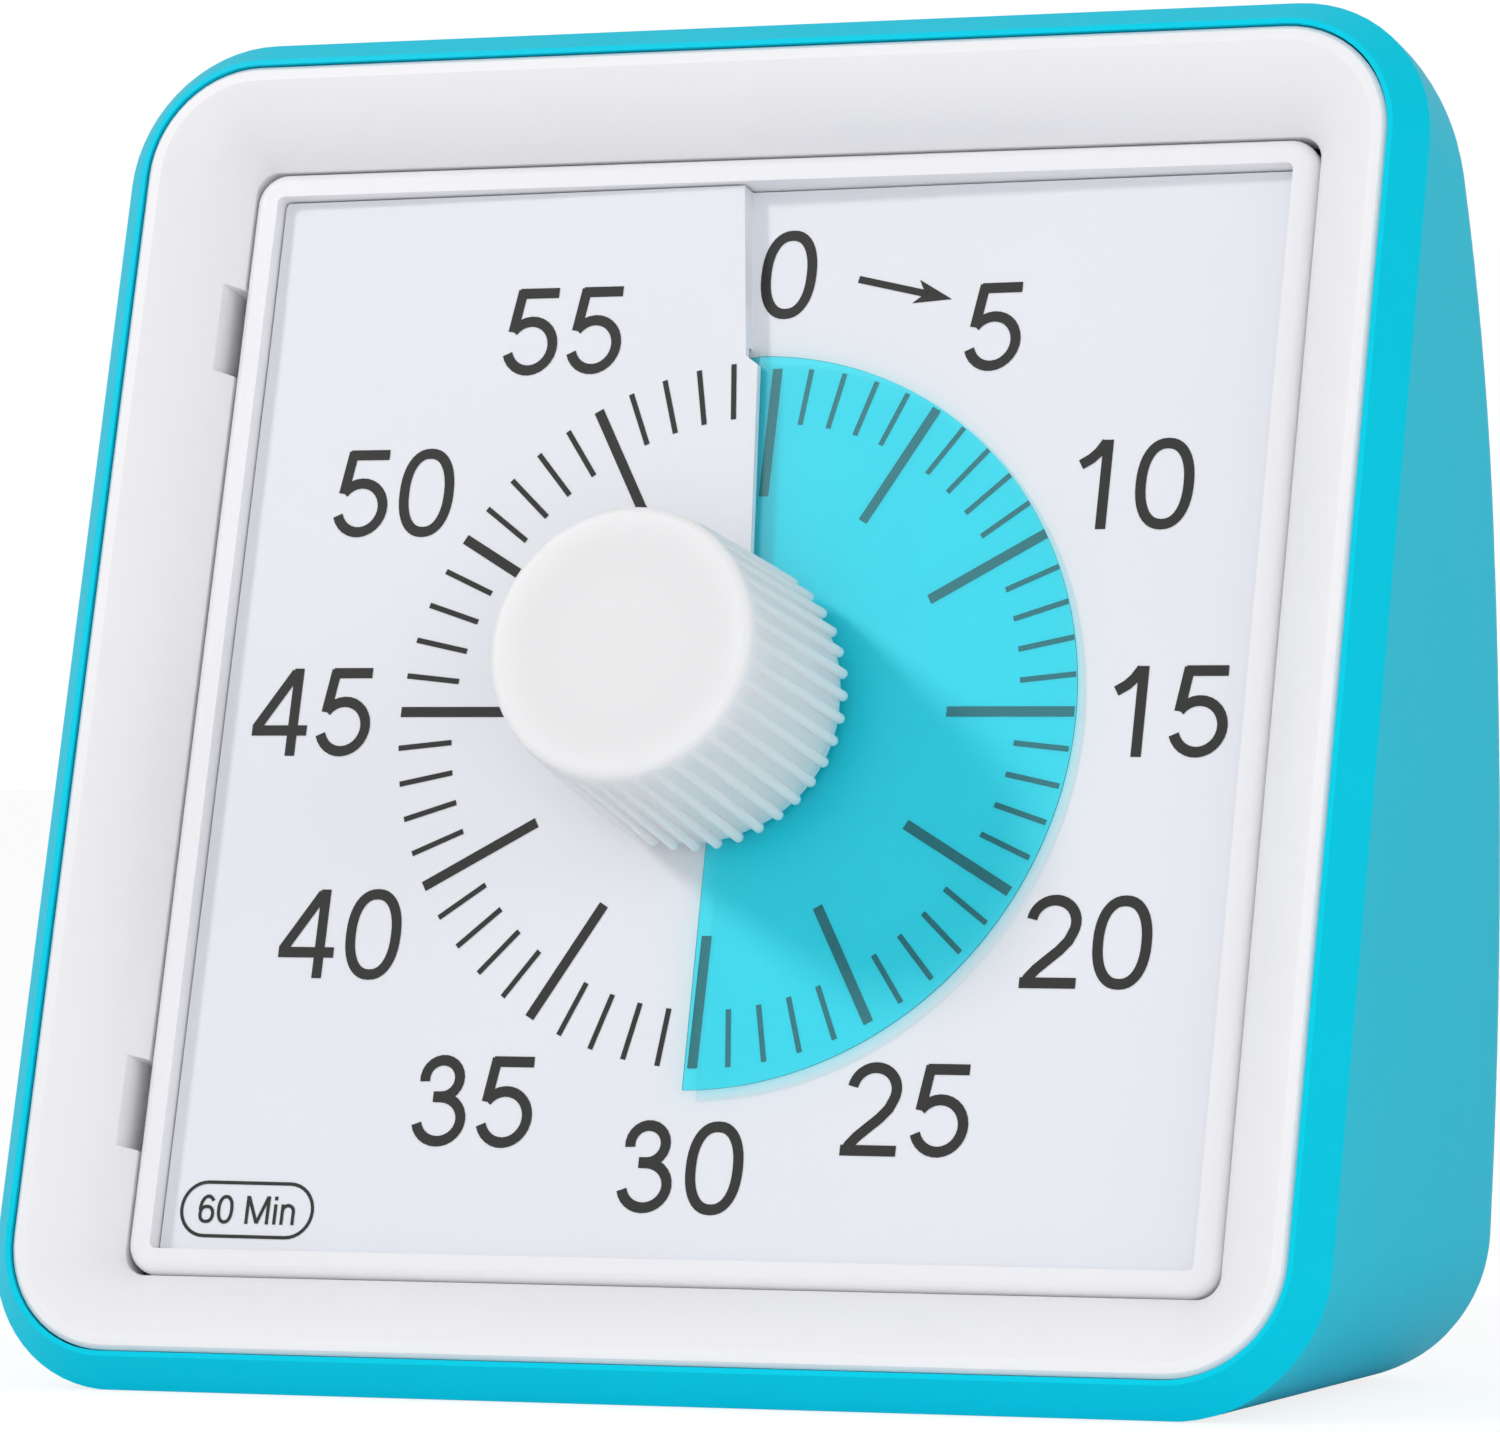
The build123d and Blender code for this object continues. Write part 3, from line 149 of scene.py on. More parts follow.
# ------------------------------------------------------------------ shader arithmetic
class Value:
    """A node's output that takes part in Python arithmetic."""

    def __init__(self, bench, socket):
        self.bench = bench
        self.socket = socket

    def maths(self, operation, *values):
        return self.bench.node("ShaderNodeMath", {"operation": operation}, *values)

    def __add__(self, other):
        return self.maths("ADD", self, other)

    __radd__ = __add__

    def __sub__(self, other):
        return self.maths("SUBTRACT", self, other)

    def __rsub__(self, other):
        return self.maths("SUBTRACT", other, self)

    def __mul__(self, other):
        return self.maths("MULTIPLY", self, other)

    __rmul__ = __mul__

    def __gt__(self, other):
        return self.maths("GREATER_THAN", self, other)

    def __lt__(self, other):
        return self.maths("LESS_THAN", self, other)

    def smooth(self, low, high):
        """0 below low, 1 above high and a soft step between them."""
        return self.bench.node("ShaderNodeMapRange", {"interpolation_type": "SMOOTHSTEP"}, self, low, high,
                               0.0, 1.0)


class Bench:
    """One material and the nodes that make it."""

    def __init__(self, name, **settings):
        self.material = bpy.data.materials.new(name)
        self.material.use_nodes = True
        self.tree = self.material.node_tree
        self.shader = self.tree.nodes["Principled BSDF"]
        self.output = self.tree.nodes["Material Output"]
        for socket, value in settings.items():
            self.put(self.shader.inputs[socket.replace("_", " ")], value)

    def put(self, socket, value):
        if isinstance(value, Value):
            self.tree.links.new(value.socket, socket)
        elif hasattr(value, "__len__") and len(value) == 3 and len(socket.default_value) == 4:
            socket.default_value = (*value, 1.0)
        else:
            socket.default_value = value

    def node(self, kind, settings=None, *values, out=0, **named):
        """Adds a node: its settings first, then its sockets in order or by name."""
        made = self.tree.nodes.new(kind)
        for key, value in (settings or {}).items():
            setattr(made, key, value)
        for place, value in enumerate(values):
            if value is not None:
                self.put(made.inputs[place], value)
        for key, value in named.items():
            self.put(made.inputs[key.replace("_", " ")], value)
        return Value(self, made.outputs[out])

    def place(self):
        """Position in the row frame, in metres."""
        return self.node("ShaderNodeTexCoord", None, out="Object")

    def axis(self, direction, origin=(0, 0, 0)):
        """Distance along a direction from an origin, in millimetres."""
        moved = self.node("ShaderNodeVectorMath", {"operation": "SUBTRACT"}, self.place(), tuple(origin))
        along = tuple(Vector(direction).normalized() / MM)
        return self.node("ShaderNodeVectorMath", {"operation": "DOT_PRODUCT"}, moved, along, out="Value")

    def grain(self, size, detail=2.0, roughness=0.5, distortion=0.0):
        """Noise whose lumps are about this many millimetres across, from 0 to 1."""
        return self.node("ShaderNodeTexNoise", None, Vector=self.place(), Scale=1.0 / (size * MM),
                         Detail=detail, Roughness=roughness, Distortion=distortion)

    def blend(self, factor, low, high):
        """Colour between two colours."""
        made = self.tree.nodes.new("ShaderNodeMix")
        made.data_type = "RGBA"
        self.put(made.inputs["Factor"], factor)
        self.put(made.inputs[6], low)
        self.put(made.inputs[7], high)
        return Value(self, made.outputs[2])

    def bump(self, height, depth):
        """Normal from a height of this many millimetres."""
        return self.node("ShaderNodeBump", None, Strength=1.0, Distance=depth * MM, Height=height)

    def wear(self, **sockets):
        """Links what varies over the surface."""
        for socket, value in sockets.items():
            self.put(self.shader.inputs[socket.replace("_", " ")], value)
        return self.material


def shade(base, factor):
    """A colour made lighter or darker."""
    return tuple(min(1.0, channel * factor) for channel in base)


def finish(node, material):
    """Gives a CAD node its material."""
    mesh = NODES[node].data
    mesh.materials.clear()
    mesh.materials.append(material)


# ------------------------------------------------------------------ finishes
def moulded(name, base, roughness, grain=0.18, depth=0.004, drift=0.03, **settings):
    """Injection-moulded plastic: fine spark-eroded grain, slow drift in tone and gloss."""
    bench = Bench(name, IOR=1.47, **settings)
    slow = bench.grain(9.0, detail=3.0)
    fine = bench.grain(grain, detail=3.0, roughness=0.6)
    flow = bench.grain(2.4, detail=2.0, distortion=0.6)
    tone = bench.blend(slow * 0.6 + flow * 0.4, shade(base, 1.0 - drift), shade(base, 1.0 + drift))
    gloss = fine * 0.08 + slow * 0.05 + (roughness - 0.065)
    return bench.wear(Base_Color=tone, Roughness=gloss, Normal=bench.bump(fine, depth))


def printed_ink(name, base):
    """Screen-printed ink with slightly uneven cover."""
    bench = Bench(name, Specular_IOR_Level=0.18)
    body = bench.grain(0.35, detail=4.0, roughness=0.7)
    pin = bench.grain(0.09, detail=2.0)
    tone = bench.blend(body * 0.7 + pin * 0.3, shade(base, 0.82), shade(base, 1.22))
    return bench.wear(Base_Color=tone, Roughness=0.42 + body * 0.16, Normal=bench.bump(pin, 0.002))


def paper_plate(name, base):
    """Fine matt laminate of the dial."""
    bench = Bench(name, IOR=1.46)
    fibre = bench.grain(0.12, detail=4.0, roughness=0.65)
    cloud = bench.grain(14.0, detail=2.0)
    tone = bench.blend(cloud * 0.7 + fibre * 0.3, shade(base, 0.985), shade(base, 1.015))
    return bench.wear(Base_Color=tone, Roughness=0.44 + fibre * 0.10, Normal=bench.bump(fibre, 0.003))


def film(name, tint, body):
    """Translucent coloured sheet: it tints the light that passes, sends some back and has a soft shine."""
    bench = Bench(name, Specular_IOR_Level=0.0)
    cloud = bench.grain(6.0, detail=3.0)
    fine = bench.grain(0.15, detail=3.0)
    tone = bench.blend(cloud, shade(body, 0.96), shade(body, 1.05))
    bench.wear(Base_Color=tone, Roughness=0.5 + fine * 0.1, Normal=bench.bump(fine, 0.002))
    clear = bench.node("ShaderNodeBsdfTransparent", None, Color=tint)
    shine = bench.node("ShaderNodeBsdfPrincipled", None, Base_Color=(1.0, 1.0, 1.0), Metallic=1.0,
                       Roughness=0.42 + fine * 0.06)
    clearness = 0.935 + cloud * 0.01
    gloss = 0.038 + cloud * 0.008
    through = bench.node("ShaderNodeMixShader", None, clearness, Value(bench, bench.shader.outputs[0]), clear)
    whole = bench.node("ShaderNodeMixShader", None, gloss, through, shine)
    bench.tree.links.new(whole.socket, bench.output.inputs["Surface"])
    return bench.material


def machined(name, base, roughness, turned=False, axis=None):
    """Bright metal with drawn or turned tool marks."""
    bench = Bench(name, Metallic=1.0, IOR=1.5)
    if turned:
        across = bench.axis(ACROSS, DIAL)
        up = bench.axis(UP, DIAL)
        ring = bench.node("ShaderNodeMath", {"operation": "SQRT"}, across * across + up * up)
        lines = bench.node("ShaderNodeMath", {"operation": "SINE"}, ring * 48.0) * 0.5 + 0.5
    else:
        along = bench.axis(axis or ACROSS)
        lines = bench.node("ShaderNodeTexNoise", {"noise_dimensions": "1D"}, W=along * 14.0, Detail=3.0)
    smudge = bench.grain(1.6, detail=3.0)
    tone = bench.blend(smudge, shade(base, 0.86), shade(base, 1.06))
    return bench.wear(Base_Color=tone, Roughness=roughness + lines * 0.10 + smudge * 0.10,
                      Normal=bench.bump(lines, 0.004))


def windings(name, base):
    """Enamelled wire wound side by side, with painted shade in the grooves between turns and a painted
    highlight on their crests.
    """
    bench = Bench(name, Metallic=0.6, IOR=1.6, Coat_Weight=0.4)
    along = bench.axis(UP, DIAL)
    turns = bench.node("ShaderNodeMath", {"operation": "SINE"}, along * 52.0) * 0.5 + 0.5
    stray = bench.grain(0.8, detail=2.0)
    # Painted shade and highlight: darker where the turns meet, lighter on their crests.
    tone = bench.blend(turns * 0.7 + stray * 0.3, shade(base, 0.45), shade(base, 1.25))
    return bench.wear(Base_Color=tone, Roughness=0.25 + stray * 0.2, Normal=bench.bump(turns, 0.05))


def circuit(name, base, first, second):
    """Solder mask over copper tracks that run in two directions."""
    bench = Bench(name, IOR=1.5, Coat_Weight=0.3)
    weave = bench.grain(0.3, detail=2.0)
    wander = bench.grain(5.0, detail=1.0)
    one = bench.axis(first) + wander * 2.5
    two = bench.axis(second) + wander * 2.0
    lines = bench.node("ShaderNodeMath", {"operation": "SINE"}, one * 3.1)
    cross = bench.node("ShaderNodeMath", {"operation": "SINE"}, two * 2.3)
    region = bench.grain(4.0, detail=0.0).smooth(0.47, 0.53)
    track = lines.smooth(0.55, 0.75) * region + cross.smooth(0.55, 0.75) * (1 - region)
    tone = bench.blend(track, shade(base, 0.9), shade(base, 1.75))
    return bench.wear(Base_Color=tone, Roughness=0.30 + weave * 0.18, Normal=bench.bump(track, 0.03))


def cell_sleeve(name, base):
    """Plain printed sleeve with a bright band at the positive end and bare steel ends."""
    bench = Bench(name, IOR=1.5)
    band_from, flat_end, knob_end = 0.72, 0.45, 1.6
    low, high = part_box("battery")
    along = bench.axis((1, 0, 0), (low.x, 0, 0))
    span = (high.x - low.x) / MM
    scuff = bench.grain(0.7, detail=4.0)
    band = (along > span * band_from)
    ends = (along < flat_end) + (along > span - knob_end)
    sleeve = bench.blend(band, shade(base, 0.8), (0.72, 0.42, 0.16))
    tone = bench.blend(ends, sleeve, (0.66, 0.66, 0.68))
    return bench.wear(Base_Color=bench.blend(scuff * 0.25, tone, shade(base, 1.6)),
                      Metallic=ends * 0.9 + band * 0.3, Roughness=0.22 + scuff * 0.18,
                      Normal=bench.bump(scuff, 0.01))


# ------------------------------------------------------------------ shapes on the dial
SLIT = ((1.6, 0.0), (0.87, 9.85), (0.1, 20.5), (-0.7, 21.05), (-2.0, 32.05))
RISE, DROP, FADE = 0.7, 0.65, 54.0

# Ink within these millimetres of the line to twelve is the zero and its mark, and lies on the lower sheet.
ZERO_HALF, ZERO_FROM, MARK_HALF = 2.6, 22.0, 0.5


def slit_at(v):
    """Where the raised sheet of the dial ends, across, at a height on the dial."""
    for (u0, v0), (u1, v1) in zip(SLIT, SLIT[1:]):
        if v0 <= v <= v1:
            return u0 + (u1 - u0) * (v - v0) / (v1 - v0)
    return SLIT[-1][0]


def dial_height(u, v, lower=False):
    """Height of the dial's surface: it climbs to the slit from the left and dips right of it."""
    turn = math.degrees(math.atan2(u, v))
    if abs(turn) >= FADE:
        return 0.0
    if u < slit_at(v) and not lower:
        return RISE * (1 - max(0.0, -turn) / FADE)
    return -DROP * (1 - max(0.0, turn) / FADE)


def new_piece(name, vertices, faces, material, body="case"):
    """A mesh piece in the row frame that rides on a body."""
    mesh = bpy.data.meshes.new(name)
    mesh.from_pydata([tuple(v) for v in vertices], [], faces)
    mesh.update()
    mesh.materials.append(material)
    piece = bpy.data.objects.new(name, mesh)
    bpy.context.scene.collection.objects.link(piece)
    if body:
        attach(piece, body)
    return piece


def ink_piece(name, outlines, sizes, material, lifts=None):
    """Flat ink from outlines round the printed centre, laid on the dial's surface."""
    vertices, faces = [], []
    turn_cos, turn_sin = math.cos(sizes.turn), math.sin(sizes.turn)
    for k, outline in enumerate(outlines):
        start = len(vertices)
        lift = sizes.lift / MM + (lifts[k] if lifts else 0.0)
        at_zero = all(y > 0 and abs(x) < ZERO_HALF and (abs(x) < MARK_HALF or y > ZERO_FROM)
                      for x, y in outline)
        for x, y in outline:
            near = max(0.0, 1 - abs(math.degrees(math.atan2(x, y))) / FADE)
            u = sizes.shift_u / MM + x * turn_cos + y * turn_sin + sizes.pull_u / MM * near
            v = sizes.shift_v / MM - x * turn_sin + y * turn_cos - sizes.pull_v / MM * near
            vertices.append(on_dial(u, v, dial_height(u, v, at_zero) + lift))
        faces.append(tuple(range(start, start + len(outline))))
    piece = new_piece(name, vertices, faces, material)
    return piece


def bar(start, end, width, steps=6):
    """Quads of a straight bar between two dial points."""
    (u0, v0), (u1, v1) = start, end
    run = math.hypot(u1 - u0, v1 - v0)
    side = (-(v1 - v0) / run * width / 2, (u1 - u0) / run * width / 2)
    quads = []
    for k in range(steps):
        a, b = k / steps, (k + 1) / steps
        p = (u0 + (u1 - u0) * a, v0 + (v1 - v0) * a)
        q = (u0 + (u1 - u0) * b, v0 + (v1 - v0) * b)
        quads.append([(p[0] - side[0], p[1] - side[1]), (q[0] - side[0], q[1] - side[1]),
                      (q[0] + side[0], q[1] + side[1]), (p[0] + side[0], p[1] + side[1])])
    return quads


def arc(x, y, rx, ry, first, last, steps=16):
    """Points of an elliptical arc between two angles in degrees."""
    turns = [math.radians(first + (last - first) * k / steps) for k in range(steps + 1)]
    return [(x + rx * math.cos(a), y + ry * math.sin(a)) for a in turns]


def oval(x, y, rx, ry, steps=40):
    """Points of a closed oval with slightly flattened sides."""
    flatness = 0.88
    points = []
    for k in range(steps + 1):
        c, s = math.cos(2 * math.pi * k / steps), math.sin(2 * math.pi * k / steps)
        points.append((x + rx * math.copysign(abs(c) ** flatness, c),
                       y + ry * math.copysign(abs(s) ** flatness, s)))
    return points


# Each character: how far the next one starts, and the middle lines of its strokes, for a height of one.
LETTERS = {
    "0": (0.776, [oval(0.385, 0.5, 0.272, 0.452)]),
    "1": (0.776, [[(0.475, 0.0), (0.475, 1.0)],
                  [(0.185, 0.722), (0.30, 0.79), (0.38, 0.865), (0.455, 0.975)]]),
    "2": (0.776, [arc(0.372, 0.710, 0.252, 0.243, 172, -24, 18) + [(0.555, 0.510), (0.46, 0.405),
                  (0.33, 0.295), (0.22, 0.20), (0.14, 0.11), (0.10, 0.035)],
                  [(0.045, 0.053), (0.682, 0.053)]]),
    "3": (0.776, [arc(0.362, 0.748, 0.207, 0.203, 190, -88, 18) + [(0.275, 0.545)],
                  [(0.29, 0.542)] + arc(0.368, 0.297, 0.262, 0.245, 88, -168, 20)]),
    "4": (0.776, [[(0.530, 0.0), (0.530, 1.0)], [(0.500, 0.958), (0.080, 0.315)],
                  [(0.035, 0.290), (0.705, 0.290)]]),
    "5": (0.776, [[(0.180, 0.946), (0.655, 0.946)], [(0.215, 0.985), (0.142, 0.500)],
                  arc(0.365, 0.335, 0.275, 0.283, 143, -162, 24)]),
    "6": (0.776, [oval(0.390, 0.318, 0.262, 0.268, 32), arc(0.415, 0.50, 0.295, 0.452, 40, 186, 16)]),
    "M": (1.163, [[(0.150, 0.0), (0.150, 1.0)], [(0.175, 0.97), (0.580, 0.03)],
                  [(0.580, 0.03), (0.985, 0.97)], [(1.010, 0.0), (1.010, 1.0)]]),
    "i": (0.310, [[(0.155, 0.0), (0.155, 0.725)], [(0.155, 0.86), (0.155, 1.0)]]),
    "n": (0.776, [[(0.145, 0.0), (0.145, 0.725)],
                  arc(0.375, 0.465, 0.230, 0.222, 180, 0, 12) + [(0.605, 0.0)]]),
    " ": (0.388, []),
}


def stroked(points, weight):
    """Quads of a line of even weight along some points."""
    same_point, sharpest_join = 1e-6, 0.35
    closed = math.dist(points[0], points[-1]) < same_point
    count = len(points)
    sides = []
    for k, (x, y) in enumerate(points):
        before = points[k - 1] if k else (points[-2] if closed else None)
        after = points[k + 1] if k < count - 1 else (points[1] if closed else None)
        runs = []
        for (x0, y0), (x1, y1) in ((before or points[0], (x, y)), ((x, y), after or points[-1])):
            run = math.hypot(x1 - x0, y1 - y0)
            if run > same_point:
                runs.append((-(y1 - y0) / run, (x1 - x0) / run))
        nx, ny = sum(r[0] for r in runs) / len(runs), sum(r[1] for r in runs) / len(runs)
        size = max(sharpest_join, nx * nx + ny * ny)
        nx, ny = nx / size * weight / 2, ny / size * weight / 2
        sides.append(((x + nx, y + ny), (x - nx, y - ny)))
    return [[a[0], a[1], b[1], b[0]] for a, b in zip(sides, sides[1:])]


def lettering(words, height, middle, weight=0.118, wide=1.0):
    """Quads of a line of characters centred on a place on the dial, and a small lift for each stroke."""
    stroke_lift = 0.002
    quads, lifts = [], []
    start, left, right = 0.0, 1e9, -1e9
    for letter in words:
        advance, strokes = LETTERS[letter]
        for order, line in enumerate(strokes):
            for quad in stroked([(start + x * wide, y) for x, y in line], weight):
                quads.append(quad)
                lifts.append(order * stroke_lift)
                left = min(left, *(x for x, y in quad))
                right = max(right, *(x for x, y in quad))
        start += advance * wide
    shift = (left + right) / 2
    placed = [[(middle[0] + (x - shift) * height, middle[1] + (y - 0.5) * height) for x, y in quad]
              for quad in quads]
    return placed, lifts


# ------------------------------------------------------------------ operators
class TimerStep(bpy.types.Operator):
    """One step of the timer's dressing"""
    bl_options = {"REGISTER", "UNDO"}


class OBJECT_OT_timer_case(TimerStep):
    """Finishes the shell and the battery door"""
    bl_idname = "object.timer_case"
    bl_label = "Case"

    def execute(self, context):
        finishes = context.scene.timer_finishes
        shell = moulded("case plastic", finishes.case_cyan, finishes.case_roughness, grain=0.22, depth=0.004,
                        Specular_IOR_Level=0.07)
        finish("rear_case", shell)
        finish("battery_door", shell)
        return {"FINISHED"}


class OBJECT_OT_timer_bezel(TimerStep):
    """Finishes the dished bezel and the tray with its bead"""
    bl_idname = "object.timer_bezel"
    bl_label = "Bezel and tray"

    def execute(self, context):
        finishes = context.scene.timer_finishes
        milky = {"grain": 0.2, "depth": 0.003, "drift": 0.012, "Subsurface_Weight": 0.35,
                 "Subsurface_Scale": 0.9 * MM, "Subsurface_Radius": (1.0, 0.92, 0.96)}
        satin = finishes.white_roughness
        finish("front_bezel", moulded("bezel plastic", finishes.bezel_white, satin, **milky))
        finish("dial_tray", moulded("tray plastic", finishes.tray_white, satin, **milky))
        return {"FINISHED"}


class OBJECT_OT_timer_dial(TimerStep):
    """Finishes the dial and prints its marks, numbers, arrow and framed words"""
    bl_idname = "object.timer_dial"
    bl_label = "Dial"

    def execute(self, context):
        finishes = context.scene.timer_finishes
        sizes = context.scene.timer_print
        finish("dial_plate", paper_plate("dial laminate", finishes.dial_white))
        ink = printed_ink("dial ink", finishes.ink)
        ring = sizes.ring / MM

        def round_the_dial(radius, minute):
            turn = math.radians(6 * minute)
            return radius * math.sin(turn), radius * math.cos(turn)

        marks = []
        for minute in range(60):
            long = minute % 5 == 0
            inner = ring * (sizes.long_mark if long else sizes.short_mark)
            width = (sizes.bold if long else sizes.fine) / MM
            marks += bar(round_the_dial(inner, minute), round_the_dial(ring, minute), width)
        ink_piece("minute_marks", marks, sizes, ink)

        numbers, lifts = [], []
        nudges = {0: (0.05, 0.0), 5: (0.14, -0.07), 10: (0.12, 0.0)}
        for minute in range(0, 60, 5):
            across, up = round_the_dial(sizes.number_ring / MM, minute)
            aside, above = nudges.get(minute, (0.0, 0.0))
            quads, steps = lettering(str(minute), sizes.digit / MM, (across + aside, up + above))
            numbers += quads
            lifts += steps
        ink_piece("dial_numbers", numbers, sizes, ink, lifts)

        tail, tip = (4.48, 25.76), (10.42, 24.36)
        shaft_width, shaft_end, barb_back, barb_side, notch = 0.42, 1.6, 2.35, 0.72, 1.75
        run = math.dist(tail, tip)
        ahead = ((tip[0] - tail[0]) / run, (tip[1] - tail[1]) / run)

        def along(distance, side):
            return (tail[0] + ahead[0] * distance - ahead[1] * side,
                    tail[1] + ahead[1] * distance + ahead[0] * side)

        arrow = bar(tail, along(run - shaft_end, 0), shaft_width)
        arrow += [[along(run, 0), along(run - barb_back, barb_side), along(run - notch, 0)],
                  [along(run, 0), along(run - notch, 0), along(run - barb_back, -barb_side)]]
        ink_piece("direction_arrow", arrow, sizes, ink)

        middle = (-26.43, -29.22)
        words, lifts = lettering("60 Min", sizes.small_digit / MM, middle, weight=0.125, wide=0.93)
        reach, radius, line_width = 4.12, 1.55, 0.2
        half = reach - radius
        frame_line = arc(half, 0, radius, radius, -90, 90) + arc(-half, 0, radius, radius, 90, 270)
        frame_line.append(frame_line[0])
        words += stroked([(middle[0] + x, middle[1] + y) for x, y in frame_line], line_width)
        lifts += [0.0] * (len(words) - len(lifts))
        ink_piece("framed_words", words, sizes, ink, lifts)
        return {"FINISHED"}


class OBJECT_OT_timer_disc(TimerStep):
    """Builds the threaded colour disc from two fans"""
    bl_idname = "object.timer_disc"
    bl_label = "Colour disc"

    def execute(self, context):
        finishes = context.scene.timer_finishes
        sheet = film("disc film", finishes.film_tint, finishes.film_body)
        # Painted shadow: the sheet's rim gets this dark colour, which draws a shadow line along the disc's
        # edge.
        edge = moulded("disc edge with painted shadow line", finishes.film_edge, 0.4, grain=0.1, depth=0.001)
        # In millimetres: the sheet, where its middle lies, and its height at the slit and at its two ends.
        thickness, outer = 0.10, 21.4
        middle_u, middle_v = -0.15, -0.25
        at_slit, in_front, behind = 0.10, 0.74, -2.2
        rings, steps = 10, 120

        def rise(part):
            """Inverse of the smooth step: how the sheet's height climbs along the fan."""
            return 0.5 - math.sin(math.asin(1 - 2 * part) / 3)

        def fan(name, first, last, low, high, inner, lean=(0.0, 0.0)):
            vertices, faces = [], []
            for k in range(steps + 1):
                part = k / steps
                turn = math.radians(first + (last - first) * part)
                height = low + (high - low) * rise(part)
                aside = middle_u + lean[0] * (height - low)
                down = middle_v + lean[1] * (height - low)
                for ring in range(rings + 1):
                    radius = inner + (outer - inner) * ring / rings
                    vertices.append(on_dial(aside + radius * math.sin(turn), down + radius * math.cos(turn),
                                            height))
            row = rings + 1
            for k in range(steps):
                for ring in range(rings):
                    a = k * row + ring
                    quad = (a, a + row, a + row + 1, a + 1)
                    faces.append(quad if last > first else quad[::-1])
            piece = new_piece(name, vertices, faces, sheet, body=None)
            piece.data.materials.append(edge)
            on_dial(0, 0, low)
            on_dial(0, 0, high)
            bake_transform(piece)
            solid = piece.modifiers.new("sheet", "SOLIDIFY")
            solid.thickness = thickness * MM
            solid.offset = 0.0
            # The rim takes the second material: the real cut edge, coloured dark as a painted shadow line.
            solid.material_offset_rim = 1
            return piece

        front = fan("colour_disc_front", 0.0, 179.4, at_slit, in_front, inner=5.4, lean=(0.292, -0.184))
        fan("colour_disc_behind", 0.0, -179.3, 0.0, behind, inner=6.3)
        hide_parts("colour_disc")
        finish("disc_hub", moulded("hub plastic", shade(finishes.tray_white, 0.95), 0.45))
        return {"FINISHED"}


class OBJECT_OT_timer_knob(TimerStep):
    """Finishes the ribbed knob and its shaft"""
    bl_idname = "object.timer_knob"
    bl_label = "Knob and shaft"

    def execute(self, context):
        finishes = context.scene.timer_finishes
        finish("knob", moulded("knob plastic", finishes.knob_white, finishes.white_roughness, grain=0.2,
                               depth=0.003, drift=0.01, Subsurface_Weight=0.8, Subsurface_Scale=3.0 * MM,
                               Subsurface_Radius=(1.0, 0.88, 0.86)))
        finish("drive_shaft", machined("shaft steel", (0.62, 0.63, 0.65), 0.22, turned=True))
        finish("clutch_spring", machined("spring steel", (0.60, 0.61, 0.64), 0.2, turned=True))
        return {"FINISHED"}


class OBJECT_OT_timer_movement(TimerStep):
    """Finishes the movement's housing, wheels, motor and electronics"""
    bl_idname = "object.timer_movement"
    bl_label = "Movement"

    def execute(self, context):
        housing = moulded("movement plastic", (0.030, 0.030, 0.034), 0.5, grain=0.3, depth=0.012, drift=0.1)
        acetal = moulded("wheel acetal", (0.78, 0.77, 0.70), 0.35, grain=0.5, depth=0.004, drift=0.03)
        brass = machined("bush brass", (0.72, 0.50, 0.20), 0.24, turned=True)
        iron = machined("lamination iron", (0.36, 0.36, 0.38), 0.38)
        nickel = machined("contact nickel", (0.66, 0.65, 0.62), 0.22, axis=UP)
        zinc = machined("movement screw zinc", (0.56, 0.58, 0.60), 0.3)
        for node in ("movement_case", "movement_cover"):
            finish(node, housing)
        for node in ("centre_wheel", "second_wheel", "third_wheel", "rotor"):
            finish(node, acetal)
        for node in ("movement_bush", "mounting_nut"):
            finish(node, brass)
        finish("stator", iron)
        finish("coil", windings("coil copper", (0.60, 0.20, 0.07)))
        finish("circuit_board", circuit("clock board", (0.02, 0.16, 0.07), ACROSS, UP))
        finish("crystal", machined("crystal can", (0.70, 0.70, 0.72), 0.18, axis=UP))
        finish("end_contact", nickel)
        for node in ("movement_screws", "tray_screws"):
            finish(node, zinc)
        return {"FINISHED"}


class OBJECT_OT_timer_power(TimerStep):
    """Finishes the battery and its contacts"""
    bl_idname = "object.timer_power"
    bl_label = "Battery"

    def execute(self, context):
        finish("battery", cell_sleeve("cell sleeve", (0.035, 0.037, 0.042)))
        finish("battery_spring", machined("battery spring steel", (0.64, 0.64, 0.64), 0.2))
        finish("battery_contact", machined("battery contact steel", (0.66, 0.66, 0.65), 0.25, axis=UP))
        return {"FINISHED"}


class OBJECT_OT_timer_alarm(TimerStep):
    """Finishes the alarm board, buzzer and switch"""
    bl_idname = "object.timer_alarm"
    bl_label = "Alarm"

    def execute(self, context):
        finish("alarm_board", circuit("alarm board", (0.02, 0.15, 0.07), (1, 0, 0), (0, 0, 1)))
        finish("buzzer", moulded("buzzer plastic", (0.018, 0.018, 0.020), 0.3, grain=0.3))
        finish("switch_body", machined("switch can", (0.60, 0.60, 0.62), 0.3))
        finish("switch_slider", moulded("switch plastic", (0.025, 0.025, 0.028), 0.45, grain=0.25,
                                        depth=0.01))
        finish("board_screws", machined("board screw zinc", (0.56, 0.58, 0.60), 0.3))
        return {"FINISHED"}


